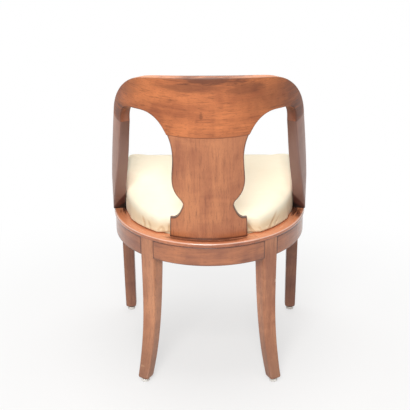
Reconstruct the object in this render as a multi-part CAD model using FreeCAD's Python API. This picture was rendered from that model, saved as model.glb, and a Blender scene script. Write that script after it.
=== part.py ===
import FreeCAD, Part
import math
import os

from FreeCAD import Vector

# Barrel-back side chair with a vase splat and a lift-out seat. Sizes in millimetres.
# +Z is up, the sitter faces -Y, and the origin is on the floor under the middle of the chair's box.
# Most pieces bend round one upright axis, the seat centre, so a place is often a radius from it
# and an angle from the rear centre line, positive towards the sitter's left (+X).
# A distance is measured forwards from the rim's nose at the rear centre.

# Seat ring
rim_radius = 244.0            # nose of the rim round the back, also half the rim's width
rim_depth = 396.0             # nose at the rear centre to nose at the front
rim_width = 38.0              # nose to inner edge
rim_thickness = 12.0
rim_top_height = 383.0
rim_nose_round = 5.0
rim_corner_radius = 10.0
rim_overhang = 3.0            # nose beyond the rails
rim_joint_angle = 30.0        # rear joints of the rim
rail_height = 48.0
rail_thickness = 44.0

# Legs
rear_leg_angle = 38.9
rear_leg_top_width = 40.0
rear_leg_top_depth = 37.5
rear_leg_foot_width = 28.5
rear_leg_foot_depth = 26.5
rear_leg_sweep_back = 57.0
rear_leg_sweep_side = 18.0
rear_leg_sweep_power = 3.5
front_leg_top_size = 31.0
front_leg_foot_size = 28.0
front_leg_sweep = 8.0
front_leg_side_taper = 2.5
front_leg_sweep_power = 2.0
leg_edge_round = 2.5
leg_levels = 6

# Glides
glide_radius = 10.0
glide_height = 5.0
glide_edge_round = 1.2
glide_boss_radius = 5.0
glide_boss_height = 2.0
nail_radius = 1.3
nail_head_radius = 3.5
nail_head_height = 1.2
nail_length = 26.0
nail_head_depth = 2.0         # floor to the nail head's underside

# Barrel: outer face of crest and stiles
chair_height = 796.0
barrel_half_width = 246.0     # at the rim
barrel_narrowing = 28.2       # from the rim to the crest's top
barrel_straight_height = 470.0
barrel_narrowing_power = 1.25
barrel_lean = 25.0            # the crest's top behind the rim's nose
crest_thickness = 24.0
crest_levels = 4
stile_foot_thickness = 27.0
stile_joint_height = 650.0
stile_levels = 10
stile_points_across = 7

# Crest outline on its outer face: angle and height, from the rear centre to the stile
crest_top_outline = [(12.0, 794.8), (24.0, 791.5), (41.0, 783.0), (50.0, 774.5), (60.0, 755.0),
                     (70.0, 725.5), (80.0, 686.5), (87.6, 650.0)]
arch_outline = [(24.2, 654.5), (28.2, 678.0), (33.8, 695.5), (40.0, 702.5), (48.3, 701.5),
                (57.0, 696.5), (62.0, 685.0), (63.6, 669.0), (62.9, 650.0)]

# Stile outline in side view: height and distance
stile_rear_edge = [(650.0, 110.0), (612.0, 116.5), (572.0, 123.0), (523.0, 136.0), (471.0, 157.0),
                   (427.0, 183.0), (396.0, 211.0), (383.0, 228.0)]
stile_front_edge = [(650.0, 205.5), (619.0, 221.5), (585.0, 235.0), (545.0, 248.0), (500.0, 262.0),
                    (455.0, 279.0), (418.0, 302.0), (383.0, 338.0)]

# Splat
splat_joint_height = 652.0    # at the rear centre, on the outer face
splat_foot_radius = 219.5     # outer face at the rim
splat_setback = 2.0           # behind the crest's outer face at the joint
splat_thickness = 12.0
splat_tenon_thickness = 6.0
splat_tenon_angle = 17.0
splat_foot_tenon_depth = 27.0
splat_head_tenon_depth = 14.0
# Half outline from the crest down: height and half width, with a sharp step at the foot
splat_outline = [(662.0, 96.0), (652.0, 91.8), (638.0, 87.6), (620.0, 84.0), (592.0, 82.6),
                 (560.0, 84.6), (530.0, 85.2), (511.0, 80.8), (492.0, 69.0), (483.0, 61.8),
                 (476.5, 59.8), (464.0, 62.8), (448.0, 70.5), (439.0, 78.5), (435.5, 91.4)]
splat_foot_half_width = 93.0

# Joinery
dowel_radius = 4.5
rail_dowel_reach = 18.0       # into each of the two pieces
rail_dowel_spacing = 22.0
stile_dowel_radius = 5.0
stile_dowel_rise = 24.0       # into the stile
stile_dowel_drop = 26.0       # below the rim's top
stile_dowel_distances = (254.0, 303.0)
crest_dowel_radius = 4.0
crest_dowel_reach = 20.0
crest_dowel_angles = (69.5, 80.5)
end_gap = 1.0                 # glue space at the end of a dowel or tenon
front_block_size = 58.0
rear_block_width = 104.0
rear_block_depth = 30.0       # from the rails' inner face
block_height = 40.0
block_drop = 2.5              # below the rails' tops, clear of the seat's tacks
screw_radius = 2.0
screw_head_radius = 4.0
screw_head_height = 2.4
screw_reach = 16.0            # past the block
screw_place = 0.45            # share of a block's side or half width

# Lift-out seat
seat_clearance = 1.5          # between the rim's inner edge and the covered seat
cover_thickness = 1.2
hem_width = 18.0
seat_frame_width = 46.0
seat_frame_thickness = 18.0
seat_corner_radius = 6.0
seat_joint_angle = 50.0
seat_dowel_radius = 3.5
seat_dowel_reach = 16.0
seat_dowel_spacing = 22.0
web_width = 50.0
web_thickness = 1.3
web_spacing = 92.0
web_end_inset = 8.0
crosswise_web_distance = 205.0
hessian_thickness = 0.8
hessian_inset = 6.0
tack_head_radius = 3.0
tack_head_height = 0.8
tack_shank_radius = 0.8
tack_shank_length = 5.0
tack_inset = 11.0             # from the seat frame's edge
tack_count_round_back = 9
tack_count_per_side = 3
tack_count_front = 7

# Cushion: its top slopes up from the splat to the front
cushion_rear_height = 412.0   # slope of the top, carried to the rim's noses
cushion_front_height = 486.0
cushion_gap = 1.5             # between the rim's top and the cushion's bulge
cushion_recess_angle = 26.0   # half width of the flat place behind the splat
cushion_shoulder_angle = 24.0
cushion_front_squareness = 8.0
cushion_points_behind = 19
cushion_points_front = 15
cushion_loft_degree = 3
# Rings up to the crown: share of the height, bulge at the sides, bulge at the splat, and size
cushion_rings = [(0.0, 0.6, 0.3, 1.0), (0.14, 5.4, 0.9, 1.0), (0.34, 8.6, 1.1, 1.0),
                 (0.58, 8.8, 0.8, 1.0), (0.78, 6.0, -1.5, 1.0), (0.91, 0.0, -6.5, 1.0),
                 (0.98, -11.0, -15.0, 1.0), (1.01, -20.0, -22.0, 0.90), (1.04, -20.0, -22.0, 0.68),
                 (1.06, -20.0, -22.0, 0.40)]

# Places worked out from the sizes above
foot_bottom = glide_height + glide_boss_height
rail_top = rim_top_height - rim_thickness
rail_bottom = rail_top - rail_height
rail_radius = rim_radius - rim_overhang
rail_inner_radius = rail_radius - rail_thickness
rail_front_distance = rim_depth - rim_overhang
rail_front_inner_distance = rail_front_distance - rail_thickness
front_leg_inner_x = rail_radius - front_leg_top_size
front_leg_rear_distance = rail_front_distance - front_leg_top_size
covered_seat_inset = rim_width + seat_clearance
seat_frame_inset = covered_seat_inset + cover_thickness
seat_frame_radius = rim_radius - seat_frame_inset
seat_frame_front_distance = rim_depth - seat_frame_inset
seat_frame_top = rail_top + seat_frame_thickness
web_top = seat_frame_top + 2.0 * web_thickness
hessian_top = web_top + hessian_thickness
cushion_bottom = rim_top_height + cushion_gap
block_top = rail_top - block_drop
block_bottom = block_top - block_height
chair_rear_distance = -barrel_lean
chair_front_distance = max(rim_depth, rail_front_distance + front_leg_sweep
                           + front_leg_foot_size - front_leg_top_size)
origin_distance = (chair_front_distance + chair_rear_distance) / 2.0
seat_centre_y = origin_distance - rim_radius
seat_centre = Vector(0, seat_centre_y, 0)
wide = 4.0 * rim_radius       # reach of a cutting block, past everything


def y_at(distance):
    return origin_distance - distance


def raised(point, height):
    return Vector(point.x, point.y, height)


def ring_point(radius, angle, height=0.0):
    """Point at a radius and an angle about the seat centre."""
    turn = math.radians(angle)
    return Vector(radius * math.sin(turn), seat_centre_y + radius * math.cos(turn), height)


def along(points, place):
    """Smooth value at a place in a list of (place, value) with falling places."""
    index = 0
    while index < len(points) - 2 and points[index + 1][0] > place:
        index += 1
    before = points[max(index - 1, 0)]
    start = points[index]
    end = points[index + 1]
    after = points[min(index + 2, len(points) - 1)]
    span = end[0] - start[0]
    share = (place - start[0]) / span
    start_slope = (end[1] - before[1]) / (end[0] - before[0]) * span
    end_slope = (after[1] - start[1]) / (after[0] - start[0]) * span
    bend = start[1] - end[1]
    cubic = 2.0 * bend + start_slope + end_slope
    square = -3.0 * bend - 2.0 * start_slope - end_slope
    return ((cubic * share + square) * share + start_slope) * share + start[1]


def shares(count):
    return [index / (count - 1.0) for index in range(count)]


def spline(points, places=None):
    """Smooth edge through the points, at even places if asked."""
    curve = Part.BSplineCurve()
    if places:
        curve.interpolate(Points=points, Parameters=places)
    else:
        curve.interpolate(Points=points)
    return curve.toShape()


def closed_line(points):
    return Part.makePolygon(points + points[:1])


def prism(points, low, high):
    """Upright prism on a closed line of points."""
    face = Part.Face(closed_line([raised(point, low) for point in points]))
    return face.extrude(Vector(0, 0, high - low))


def block(x_range, y_range, z_range):
    corner = Vector(min(x_range), min(y_range), min(z_range))
    return Part.makeBox(abs(x_range[1] - x_range[0]), abs(y_range[1] - y_range[0]),
                        abs(z_range[1] - z_range[0]), corner)


def rod(radius, start, end):
    reach = end - start
    return Part.makeCylinder(radius, reach.Length, start, reach)


def longer_rod(radius, start, end, extra):
    step = (end - start).normalize() * extra
    return rod(radius, start - step, end + step)


def mirrored(shape):
    """The same piece on the sitter's right."""
    return shape.mirror(Vector(0, 0, 0), Vector(1, 0, 0))


def both_sides(shapes):
    return shapes + [mirrored(shape) for shape in shapes]


def cut_all(shape, cutters):
    for cutter in cutters:
        shape = shape.cut(cutter)
    return shape


# Outlines of the seat ring: a half circle behind, straight sides and a straight front

def ring_outline(inset, height):
    """Closed wire, a distance inside the rim's nose."""
    radius = rim_radius - inset
    front_y = y_at(rim_depth - inset)
    corner = max(rim_corner_radius - inset, seat_corner_radius)
    bevel = corner * (1.0 - math.sqrt(0.5))
    edges = [Part.Arc(Vector(-radius, seat_centre_y, height), ring_point(radius, 0, height),
                      Vector(radius, seat_centre_y, height)).toShape()]
    for side in (1.0, -1.0):
        start = Vector(side * radius, front_y + corner, height)
        middle = Vector(side * (radius - bevel), front_y + bevel, height)
        end = Vector(side * (radius - corner), front_y, height)
        straight = (Vector(side * radius, seat_centre_y, height), start)
        edges.append(Part.makeLine(*straight))
        edges.append(Part.Arc(start, middle, end).toShape())
    edges.append(Part.makeLine(Vector(radius - corner, front_y, height),
                               Vector(corner - radius, front_y, height)))
    return Part.Wire(Part.sortEdges(edges)[0])


def ring_prism(inset, low, high):
    return Part.Face(ring_outline(inset, low)).extrude(Vector(0, 0, high - low))


def sector(start_angle, end_angle, low, high):
    """Wedge about the seat centre that reaches past the ring."""
    middle = 0.5 * (start_angle + end_angle)
    points = [seat_centre, ring_point(wide, start_angle), ring_point(wide, middle),
              ring_point(wide, end_angle)]
    return prism(points, low, high)


def front_wedge(low, high):
    """Wedge through both front corners at 45 degrees, for mitred ends."""
    apex = rim_depth - rim_radius
    points = [Vector(0, y_at(apex), 0), Vector(wide, y_at(apex + wide), 0),
              Vector(-wide, y_at(apex + wide), 0)]
    return prism(points, low, high)


def sitter_left(low, high):
    return block((0, wide), (-wide, wide), (low, high))


# Rear legs stand square to the ring, so their places are outward of and across their outer face

def leg_point(outward, across, height=0.0):
    turn = math.radians(rear_leg_angle)
    face = ring_point(rail_radius, rear_leg_angle, height)
    return face + Vector(outward * math.sin(turn) + across * math.cos(turn),
                         outward * math.cos(turn) - across * math.sin(turn), 0)


def leg_slab(inner, outer, half_width, low, high):
    points = [leg_point(inner, -half_width), leg_point(outer, -half_width),
              leg_point(outer, half_width), leg_point(inner, half_width)]
    return prism(points, low, high)


def swept_leg(sections, head):
    """Smooth curved leg below the rails with a square head between them."""
    leg = Part.makeLoft([closed_line(section) for section in sections], True, False)
    leg = leg.fuse(head).removeSplitter()
    soft_edges = [edge for edge in leg.Edges
                  if min(vertex.Z for vertex in edge.Vertexes) < foot_bottom + 1.0]
    return leg.makeFillet(leg_edge_round, soft_edges)


def leg_places():
    """Share of the way down from the rails, and the height there."""
    return [(share, rail_bottom - share * (rail_bottom - foot_bottom))
            for share in shares(leg_levels)]


def rear_leg():
    sections = []
    for share, height in leg_places():
        half_width = 0.5 * (rear_leg_top_width + (rear_leg_foot_width - rear_leg_top_width) * share)
        depth = rear_leg_top_depth + (rear_leg_foot_depth - rear_leg_top_depth) * share
        bend = share ** rear_leg_sweep_power
        sweep = Vector(rear_leg_sweep_side * bend, rear_leg_sweep_back * bend, 0)
        sections.append([leg_point(outward, across, height) + sweep for outward, across in
                         ((0, -half_width), (0, half_width), (-depth, half_width),
                          (-depth, -half_width))])
    head = leg_slab(-rear_leg_top_depth, 0, 0.5 * rear_leg_top_width, rail_bottom, rail_top)
    return swept_leg(sections, head)


def front_leg():
    sections = []
    for share, height in leg_places():
        size = front_leg_top_size + (front_leg_foot_size - front_leg_top_size) * share
        bend = front_leg_sweep * share ** front_leg_sweep_power
        x = rail_radius - front_leg_side_taper * share
        y = y_at(front_leg_rear_distance + bend)
        sections.append([Vector(x, y, height), Vector(x, y - size, height),
                         Vector(x - size, y - size, height), Vector(x - size, y, height)])
    head = block((front_leg_inner_x, rail_radius),
                 (y_at(rail_front_distance), y_at(front_leg_rear_distance)), (rail_bottom, rail_top))
    return swept_leg(sections, head)


def foot_centre(leg):
    foot = min(leg.Faces, key=lambda face: face.CenterOfMass.z)
    return raised(foot.CenterOfMass, 0)


def glide_nail(centre):
    head = Part.makeCylinder(nail_head_radius, nail_head_height, raised(centre, nail_head_depth))
    shank = Part.makeCylinder(nail_radius, nail_length, raised(centre, nail_head_depth))
    return head.fuse(shank).removeSplitter()


def glide(centre):
    disc = Part.makeCylinder(glide_radius, glide_height, centre)
    disc = disc.makeFillet(glide_edge_round, [edge for edge in disc.Edges if edge.isClosed()])
    boss = Part.makeCylinder(glide_boss_radius, foot_bottom, centre)
    recess = Part.makeCylinder(nail_head_radius, nail_head_depth, centre)
    return cut_all(disc.fuse(boss).removeSplitter(), [recess, glide_nail(centre)])


# Seat ring

def rail_ring():
    outer = ring_prism(rim_overhang, rail_bottom, rail_top)
    inner = ring_prism(rim_overhang + rail_thickness, rail_bottom, rail_top)
    return outer.cut(inner)


def rail_leg_gap():
    """Space that a rear leg takes from the ring, right through it."""
    return leg_slab(-wide / 4.0, wide / 4.0, 0.5 * rear_leg_top_width, rail_bottom, rail_top)


def rear_rail():
    reach = sector(-rear_leg_angle, rear_leg_angle, rail_bottom, rail_top)
    gap = rail_leg_gap()
    return cut_all(rail_ring().common(reach), [gap, mirrored(gap)])


def front_rail():
    return block((-front_leg_inner_x, front_leg_inner_x),
                 (y_at(rail_front_distance), y_at(rail_front_inner_distance)),
                 (rail_bottom, rail_top))


def side_rail():
    half = rail_ring().common(sitter_left(rail_bottom, rail_top))
    behind = sector(-rear_leg_angle, rear_leg_angle, rail_bottom, rail_top)
    ahead = block((front_leg_inner_x, wide), (y_at(front_leg_rear_distance), -wide),
                  (rail_bottom, rail_top))
    return cut_all(half, [behind, rail_leg_gap(), ahead, front_rail()])


def rim_ring():
    outer = ring_prism(0, rail_top, rim_top_height)
    outer = outer.makeFillet(rim_nose_round, [edge for edge in outer.Edges
                                              if edge.BoundBox.ZLength < rim_thickness / 2.0])
    return outer.cut(ring_prism(rim_width, rail_top, rim_top_height))


def rim_pieces():
    """Rear, left, right and front pieces, with radial joints behind and mitres in front."""
    ring = rim_ring()
    behind = sector(-rim_joint_angle, rim_joint_angle, rail_top, rim_top_height)
    ahead = front_wedge(rail_top, rim_top_height)
    left = cut_all(ring.common(sitter_left(rail_top, rim_top_height)), [behind, ahead])
    return {"rim_back": ring.common(behind), "rim_left": left, "rim_right": mirrored(left),
            "rim_front": ring.common(ahead)}


def front_corner_block():
    """Triangular block in the corner of the front and side rails."""
    corner = Vector(rail_inner_radius, y_at(rail_front_inner_distance), 0)
    points = [corner, corner + Vector(-front_block_size, 0, 0),
              corner + Vector(0, front_block_size, 0)]
    return prism(points, block_bottom, block_top)


def rear_corner_block():
    """Block behind a rear leg's head, filling the gap between the rails' ends."""
    inner = rail_inner_radius - rear_block_depth - rail_radius
    return leg_slab(inner, -rear_leg_top_depth, 0.5 * rear_block_width, block_bottom, block_top)


# Barrel surface of the crest and stiles

def barrel_width(height):
    """Half width of the outer face at a height."""
    rise = max(0.0, height - barrel_straight_height) / (chair_height - barrel_straight_height)
    return barrel_half_width - barrel_narrowing * rise ** barrel_narrowing_power


def barrel_centre_y(height):
    """Y of the axis of the rear half circle at a height."""
    lean = barrel_lean * (height - rim_top_height) / (chair_height - rim_top_height)
    return y_at(-lean) - barrel_width(height)


def barrel_thickness(height):
    drop = (stile_joint_height - height) / (stile_joint_height - rim_top_height)
    return crest_thickness + (stile_foot_thickness - crest_thickness) * max(0.0, drop)


def barrel_point(height, angle, inset=0.0):
    """Point on the outer face, or inside it, at an angle from the rear centre line."""
    radius = barrel_width(height) - inset
    turn = math.radians(angle)
    return Vector(radius * math.sin(turn), barrel_centre_y(height) + radius * math.cos(turn), height)


def barrel_side_point(height, distance, inset):
    """Point on the outer face, or inside it, at a distance; the sides run straight forwards."""
    behind = y_at(distance) - barrel_centre_y(height)
    if behind <= 0:
        return Vector(barrel_width(height) - inset, y_at(distance), height)
    return barrel_point(height, math.degrees(math.acos(behind / barrel_width(height))), inset)


def half_ring_wire(radius, thickness, centre_y, height):
    """Closed level outline of a board bent to a half circle."""
    edges = []
    for size in (radius, radius - thickness):
        edges.append(Part.Arc(Vector(-size, centre_y, height), Vector(0, centre_y + size, height),
                              Vector(size, centre_y, height)).toShape())
    for side in (1.0, -1.0):
        edges.append(Part.makeLine(Vector(side * radius, centre_y, height),
                                   Vector(side * (radius - thickness), centre_y, height)))
    return Part.Wire(Part.sortEdges(edges)[0])


def crest_slab():
    wires = []
    for share in shares(crest_levels):
        height = stile_joint_height + share * (chair_height - stile_joint_height)
        wires.append(half_ring_wire(barrel_width(height), crest_thickness, barrel_centre_y(height),
                                    height))
    return Part.makeLoft(wires, True, False)


def run_places(run):
    """Even places along a run of (angle, height), the same on every cutting plane."""
    places = [0.0]
    for start, end in zip(run, run[1:]):
        step = math.hypot(math.radians(end[0] - start[0]) * barrel_half_width, end[1] - start[1])
        places.append(places[-1] + step)
    return [place / places[-1] for place in places]


def square_cutter(run, corners, facing, axis_y):
    """Cutter with walls that point at an upright axis, so the barrel's edges come out square.

    run is a smooth run of (angle, height) on the outer face, and corners close its outline.
    """
    turn = math.radians(facing)
    outward = Vector(math.sin(turn), math.cos(turn), 0)
    across = Vector(outward.y, -outward.x, 0)
    wires = []
    for distance in (barrel_half_width / 3.0, barrel_half_width * 1.3):
        places = []
        for angle, height in run + corners:
            target = barrel_point(height, angle) - Vector(0, axis_y, 0)
            step = target.dot(across) / target.dot(outward) * distance
            places.append(Vector(0, axis_y, height) + outward * distance + across * step)
        smooth = places[:len(run)]
        straight = places[len(run) - 1:] + places[:1]
        edges = [spline(smooth, run_places(run))]
        for start, end in zip(straight, straight[1:]):
            edges.append(Part.makeLine(start, end))
        wires.append(Part.Wire(edges))
    return Part.makeLoft(wires, True, True)


def splat_sheet(inset, thickness, low, high):
    """Leaning curved board between two heights, a distance inside the splat's outer face."""
    top_radius = barrel_width(splat_joint_height) - splat_setback
    top_centre_y = barrel_centre_y(splat_joint_height)
    wires = []
    for height in (low, high):
        share = (height - rim_top_height) / (splat_joint_height - rim_top_height)
        radius = splat_foot_radius + (top_radius - splat_foot_radius) * share
        centre_y = seat_centre_y + (top_centre_y - seat_centre_y) * share
        wires.append(half_ring_wire(radius - inset, thickness, centre_y, height))
    return Part.makeLoft(wires, True, True)


def splat_lean():
    """Angle of the splat's outer face from upright at the rear centre."""
    top_y = barrel_centre_y(splat_joint_height) + barrel_width(splat_joint_height) - splat_setback
    foot_y = seat_centre_y + splat_foot_radius
    return math.degrees(math.atan((top_y - foot_y) / (splat_joint_height - rim_top_height)))


def above_splat_joint():
    """Everything above the joint of splat and crest, which is square to the splat's lean."""
    joint_y = barrel_centre_y(splat_joint_height) + barrel_width(splat_joint_height)
    box = block((-wide, wide), (joint_y - wide, joint_y + wide),
                (splat_joint_height, splat_joint_height + wide))
    box.rotate(Vector(0, joint_y, splat_joint_height), Vector(1, 0, 0), -splat_lean())
    return box


def splat_tenons(grow):
    """Head and foot tenons, or with a little growth their mortises."""
    inset = 0.5 * (splat_thickness - splat_tenon_thickness)
    head_top = splat_joint_height + splat_head_tenon_depth + grow
    head_bottom = splat_joint_height - splat_head_tenon_depth
    head = splat_sheet(inset, splat_tenon_thickness, head_bottom, head_top)
    foot_bottom_height = rim_top_height - splat_foot_tenon_depth - grow
    radius = splat_foot_radius - inset
    foot = Part.makeCylinder(radius, rim_top_height - foot_bottom_height,
                             raised(seat_centre, foot_bottom_height))
    foot = foot.cut(Part.makeCylinder(radius - splat_tenon_thickness,
                                      rim_top_height - foot_bottom_height,
                                      raised(seat_centre, foot_bottom_height)))
    slice_of_ring = sector(-splat_tenon_angle, splat_tenon_angle, 0, chair_height)
    return head.common(slice_of_ring), foot.common(slice_of_ring)


def splat():
    """Bent board sawn to a vase outline, straight through from the back."""
    left_run = [Vector(half, 0, height) for height, half in splat_outline]
    right_run = [Vector(-half, 0, height) for height, half in reversed(splat_outline)]
    left_foot = Vector(splat_foot_half_width, 0, rim_top_height)
    right_foot = Vector(-splat_foot_half_width, 0, rim_top_height)
    edges = [spline(left_run), Part.makeLine(left_run[-1], left_foot),
             Part.makeLine(left_foot, right_foot), Part.makeLine(right_foot, right_run[0]),
             spline(right_run), Part.makeLine(right_run[-1], left_run[0])]
    outline = Part.Face(Part.Wire(edges)).extrude(Vector(0, rim_radius, 0))
    board = splat_sheet(0, splat_thickness, rim_top_height, splat_outline[0][0])
    board = board.common(outline).cut(above_splat_joint())
    head, foot = splat_tenons(0)
    return board.fuse([head, foot]).removeSplitter()


def crest_rail():
    axis_y = barrel_centre_y(0.5 * (stile_joint_height + chair_height))
    over = 2.0 * chair_height - stile_joint_height
    under = stile_joint_height - 0.5 * crest_thickness
    first = crest_top_outline[0]
    end_angle = crest_top_outline[-1][0]
    top_run = [(-first[0], first[1]), (0.0, chair_height)] + crest_top_outline
    top = square_cutter(top_run, [(end_angle, under), (100.0, under), (100.0, over),
                                  (-first[0], over)], 45.0, axis_y)
    arch = square_cutter(arch_outline, [(arch_outline[-1][0], under), (arch_outline[0][0], under)],
                         44.0, axis_y)
    foot = sector(-arch_outline[0][0], arch_outline[0][0], 0, chair_height)
    foot = foot.cut(above_splat_joint())
    mortise = splat_tenons(end_gap)[0]
    return cut_all(crest_slab(), [top, mirrored(top), arch, mirrored(arch), foot, mortise])


def stile():
    """Sweeping upright between the rim and the crest, lofted through level sections."""
    wires = []
    for share in shares(stile_levels):
        height = rim_top_height + (stile_joint_height - rim_top_height) * share ** 1.3
        rear = along(stile_rear_edge, height)
        front = along(stile_front_edge, height)
        places = shares(stile_points_across)
        outer = [barrel_side_point(height, rear + (front - rear) * place, 0.0) for place in places]
        inner = [barrel_side_point(height, front + (rear - front) * place, barrel_thickness(height))
                 for place in places]
        wires.append(Part.Wire([spline(outer, places), Part.makeLine(outer[-1], inner[0]),
                                spline(inner, places), Part.makeLine(inner[-1], outer[0])]))
    return Part.makeLoft(wires, True, False)


# Dowels and screws, each a (radius, start, end)

def rail_dowels():
    """Two dowels at each end of each rail, on the sitter's left."""
    middle = 0.5 * (rail_top + rail_bottom)
    step = 0.25 * rail_dowel_spacing
    dowels = []
    for level in (-2.0, 2.0):
        for side in (-1.0, 1.0):
            height = middle + level * step
            across = side * 0.5 * rear_leg_top_width
            start = leg_point(-0.5 * rear_leg_top_depth, across - rail_dowel_reach, height)
            end = leg_point(-0.5 * rear_leg_top_depth, across + rail_dowel_reach, height)
            dowels.append((dowel_radius, start, end))
        x = rail_radius - 0.5 * front_leg_top_size
        joint_y = y_at(front_leg_rear_distance)
        height = middle + (level - 1.0) * step
        dowels.append((dowel_radius, Vector(x, joint_y + rail_dowel_reach, height),
                       Vector(x, joint_y - rail_dowel_reach, height)))
        y = y_at(rail_front_distance - 0.5 * front_leg_top_size)
        height = middle + (level + 1.0) * step
        dowels.append((dowel_radius, Vector(front_leg_inner_x - rail_dowel_reach, y, height),
                       Vector(front_leg_inner_x + rail_dowel_reach, y, height)))
    return dowels


def stile_dowels():
    """Upright dowels from a stile through the rim into the side rail."""
    x = barrel_half_width - 0.5 * stile_foot_thickness
    return [(stile_dowel_radius, Vector(x, y_at(distance), rim_top_height - stile_dowel_drop),
             Vector(x, y_at(distance), rim_top_height + stile_dowel_rise))
            for distance in stile_dowel_distances]


def crest_dowels():
    """Upright dowels between a stile's head and the crest."""
    dowels = []
    for angle in crest_dowel_angles:
        place = barrel_point(stile_joint_height, angle, 0.5 * crest_thickness)
        dowels.append((crest_dowel_radius, place - Vector(0, 0, crest_dowel_reach),
                       place + Vector(0, 0, crest_dowel_reach)))
    return dowels


def seat_dowels():
    """Two dowels in each joint of the lift-out frame, on the sitter's left."""
    height = rail_top + 0.5 * seat_frame_thickness
    dowels = []
    for side in (-0.5, 0.5):
        radius = seat_frame_radius - 0.5 * seat_frame_width + side * seat_dowel_spacing
        joint = ring_point(radius, seat_joint_angle, height)
        turn = math.radians(seat_joint_angle)
        step = Vector(math.cos(turn), -math.sin(turn), 0) * seat_dowel_reach
        dowels.append((seat_dowel_radius, joint - step, joint + step))
        distance = seat_frame_front_distance - 0.5 * seat_frame_width + side * seat_dowel_spacing
        joint = Vector(seat_frame_radius - seat_frame_width, y_at(distance), height)
        step = Vector(seat_dowel_reach, 0, 0)
        dowels.append((seat_dowel_radius, joint - step, joint + step))
    return dowels


def dowel_rods(dowels):
    return both_sides([rod(*dowel) for dowel in dowels])


def dowel_holes(dowels):
    return both_sides([longer_rod(*dowel, end_gap) for dowel in dowels])


def block_screws():
    """Screws from the corner blocks into the rails and rear legs."""
    height = 0.5 * (block_top + block_bottom)
    corner = Vector(rail_inner_radius, y_at(rail_front_inner_distance), height)
    starts = []
    from_corner = screw_place * front_block_size
    for inward, outward in ((Vector(0, 1, 0), Vector(1, 0, 0)), (Vector(-1, 0, 0), Vector(0, -1, 0))):
        depth = front_block_size - from_corner
        start = corner + inward * from_corner - outward * depth
        starts.append((start, outward, depth))
    turn = math.radians(rear_leg_angle)
    outward = Vector(math.sin(turn), math.cos(turn), 0)
    inner = rail_inner_radius - rear_block_depth - rail_radius
    start = leg_point(inner, 0, height)
    starts.append((start, outward, -rear_leg_top_depth - inner))
    screws = []
    for start, outward, depth in starts:
        head_start = start + outward * screw_head_height
        head = Part.makeCone(screw_head_radius, screw_radius, screw_head_height, head_start, outward)
        shank = Part.makeCylinder(screw_radius, depth + screw_reach - screw_head_height, head_start,
                                  outward)
        pocket = Part.makeCylinder(screw_head_radius, screw_head_height * 2.0,
                                   start - outward * screw_head_height, outward)
        screws.append((head.fuse(shank).removeSplitter(), pocket))
    return screws


# Lift-out seat

def seat_frame():
    """Rear, side and front members, flush on both faces and rebated below for the cover's hem."""
    low = rail_top
    high = seat_frame_top
    ring = ring_prism(seat_frame_inset, low, high)
    ring = ring.cut(ring_prism(seat_frame_inset + seat_frame_width, low, high))
    ring = ring.cut(hem())
    behind = sector(-seat_joint_angle, seat_joint_angle, low, high)
    inner_x = seat_frame_radius - seat_frame_width
    inner_y = y_at(seat_frame_front_distance - seat_frame_width)
    ahead = block((-inner_x, inner_x), (-wide, inner_y + 1.0), (low, high))
    front = ring.common(ahead)
    left = cut_all(ring.common(sitter_left(low, high)), [behind, ahead])
    return {"seat_frame_rear": ring.common(behind), "seat_frame_left": left,
            "seat_frame_right": mirrored(left), "seat_frame_front": front}


def hem():
    """The cover's edge, turned under the frame."""
    outer = ring_prism(seat_frame_inset, rail_top, rail_top + cover_thickness)
    return outer.cut(ring_prism(seat_frame_inset + hem_width, rail_top, rail_top + cover_thickness))


def tack_places():
    """Places under the hem, round the back, along the sides and across the front."""
    radius = seat_frame_radius - tack_inset
    front_y = y_at(seat_frame_front_distance - tack_inset)
    places = []
    for index in range(tack_count_round_back):
        places.append(ring_point(radius, -90.0 + 180.0 * (index + 0.5) / tack_count_round_back))
    for index in range(tack_count_per_side):
        y = seat_centre_y + (front_y - seat_centre_y) * (index + 0.5) / tack_count_per_side
        places += [Vector(radius, y, 0), Vector(-radius, y, 0)]
    for index in range(tack_count_front):
        x = radius * (2.0 * (index + 0.5) / tack_count_front - 1.0)
        places.append(Vector(x, front_y, 0))
    return places


def cover_tacks():
    tacks = []
    for place in tack_places():
        head = Part.makeCylinder(tack_head_radius, tack_head_height,
                                 raised(place, rail_top - tack_head_height))
        shank = Part.makeCylinder(tack_shank_radius, tack_shank_length + tack_head_height,
                                  raised(place, rail_top - tack_head_height))
        tacks.append(head.fuse(shank).removeSplitter())
    return tacks


def webbing(lengthwise):
    """Three straps across the frame's top, cut to its outline; the second layer lies on the first."""
    low = seat_frame_top if lengthwise else seat_frame_top + web_thickness
    outline = ring_prism(seat_frame_inset + web_end_inset, low, low + web_thickness)
    straps = []
    for step in (-1.0, 0.0, 1.0):
        if lengthwise:
            middle = step * web_spacing
            strap = block((middle - 0.5 * web_width, middle + 0.5 * web_width), (-wide, wide),
                          (low, low + web_thickness))
        else:
            middle = y_at(crosswise_web_distance) + step * web_spacing
            strap = block((-wide, wide), (middle - 0.5 * web_width, middle + 0.5 * web_width),
                          (low, low + web_thickness))
        straps.append(strap.common(outline))
    return Part.makeCompound(straps)


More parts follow.
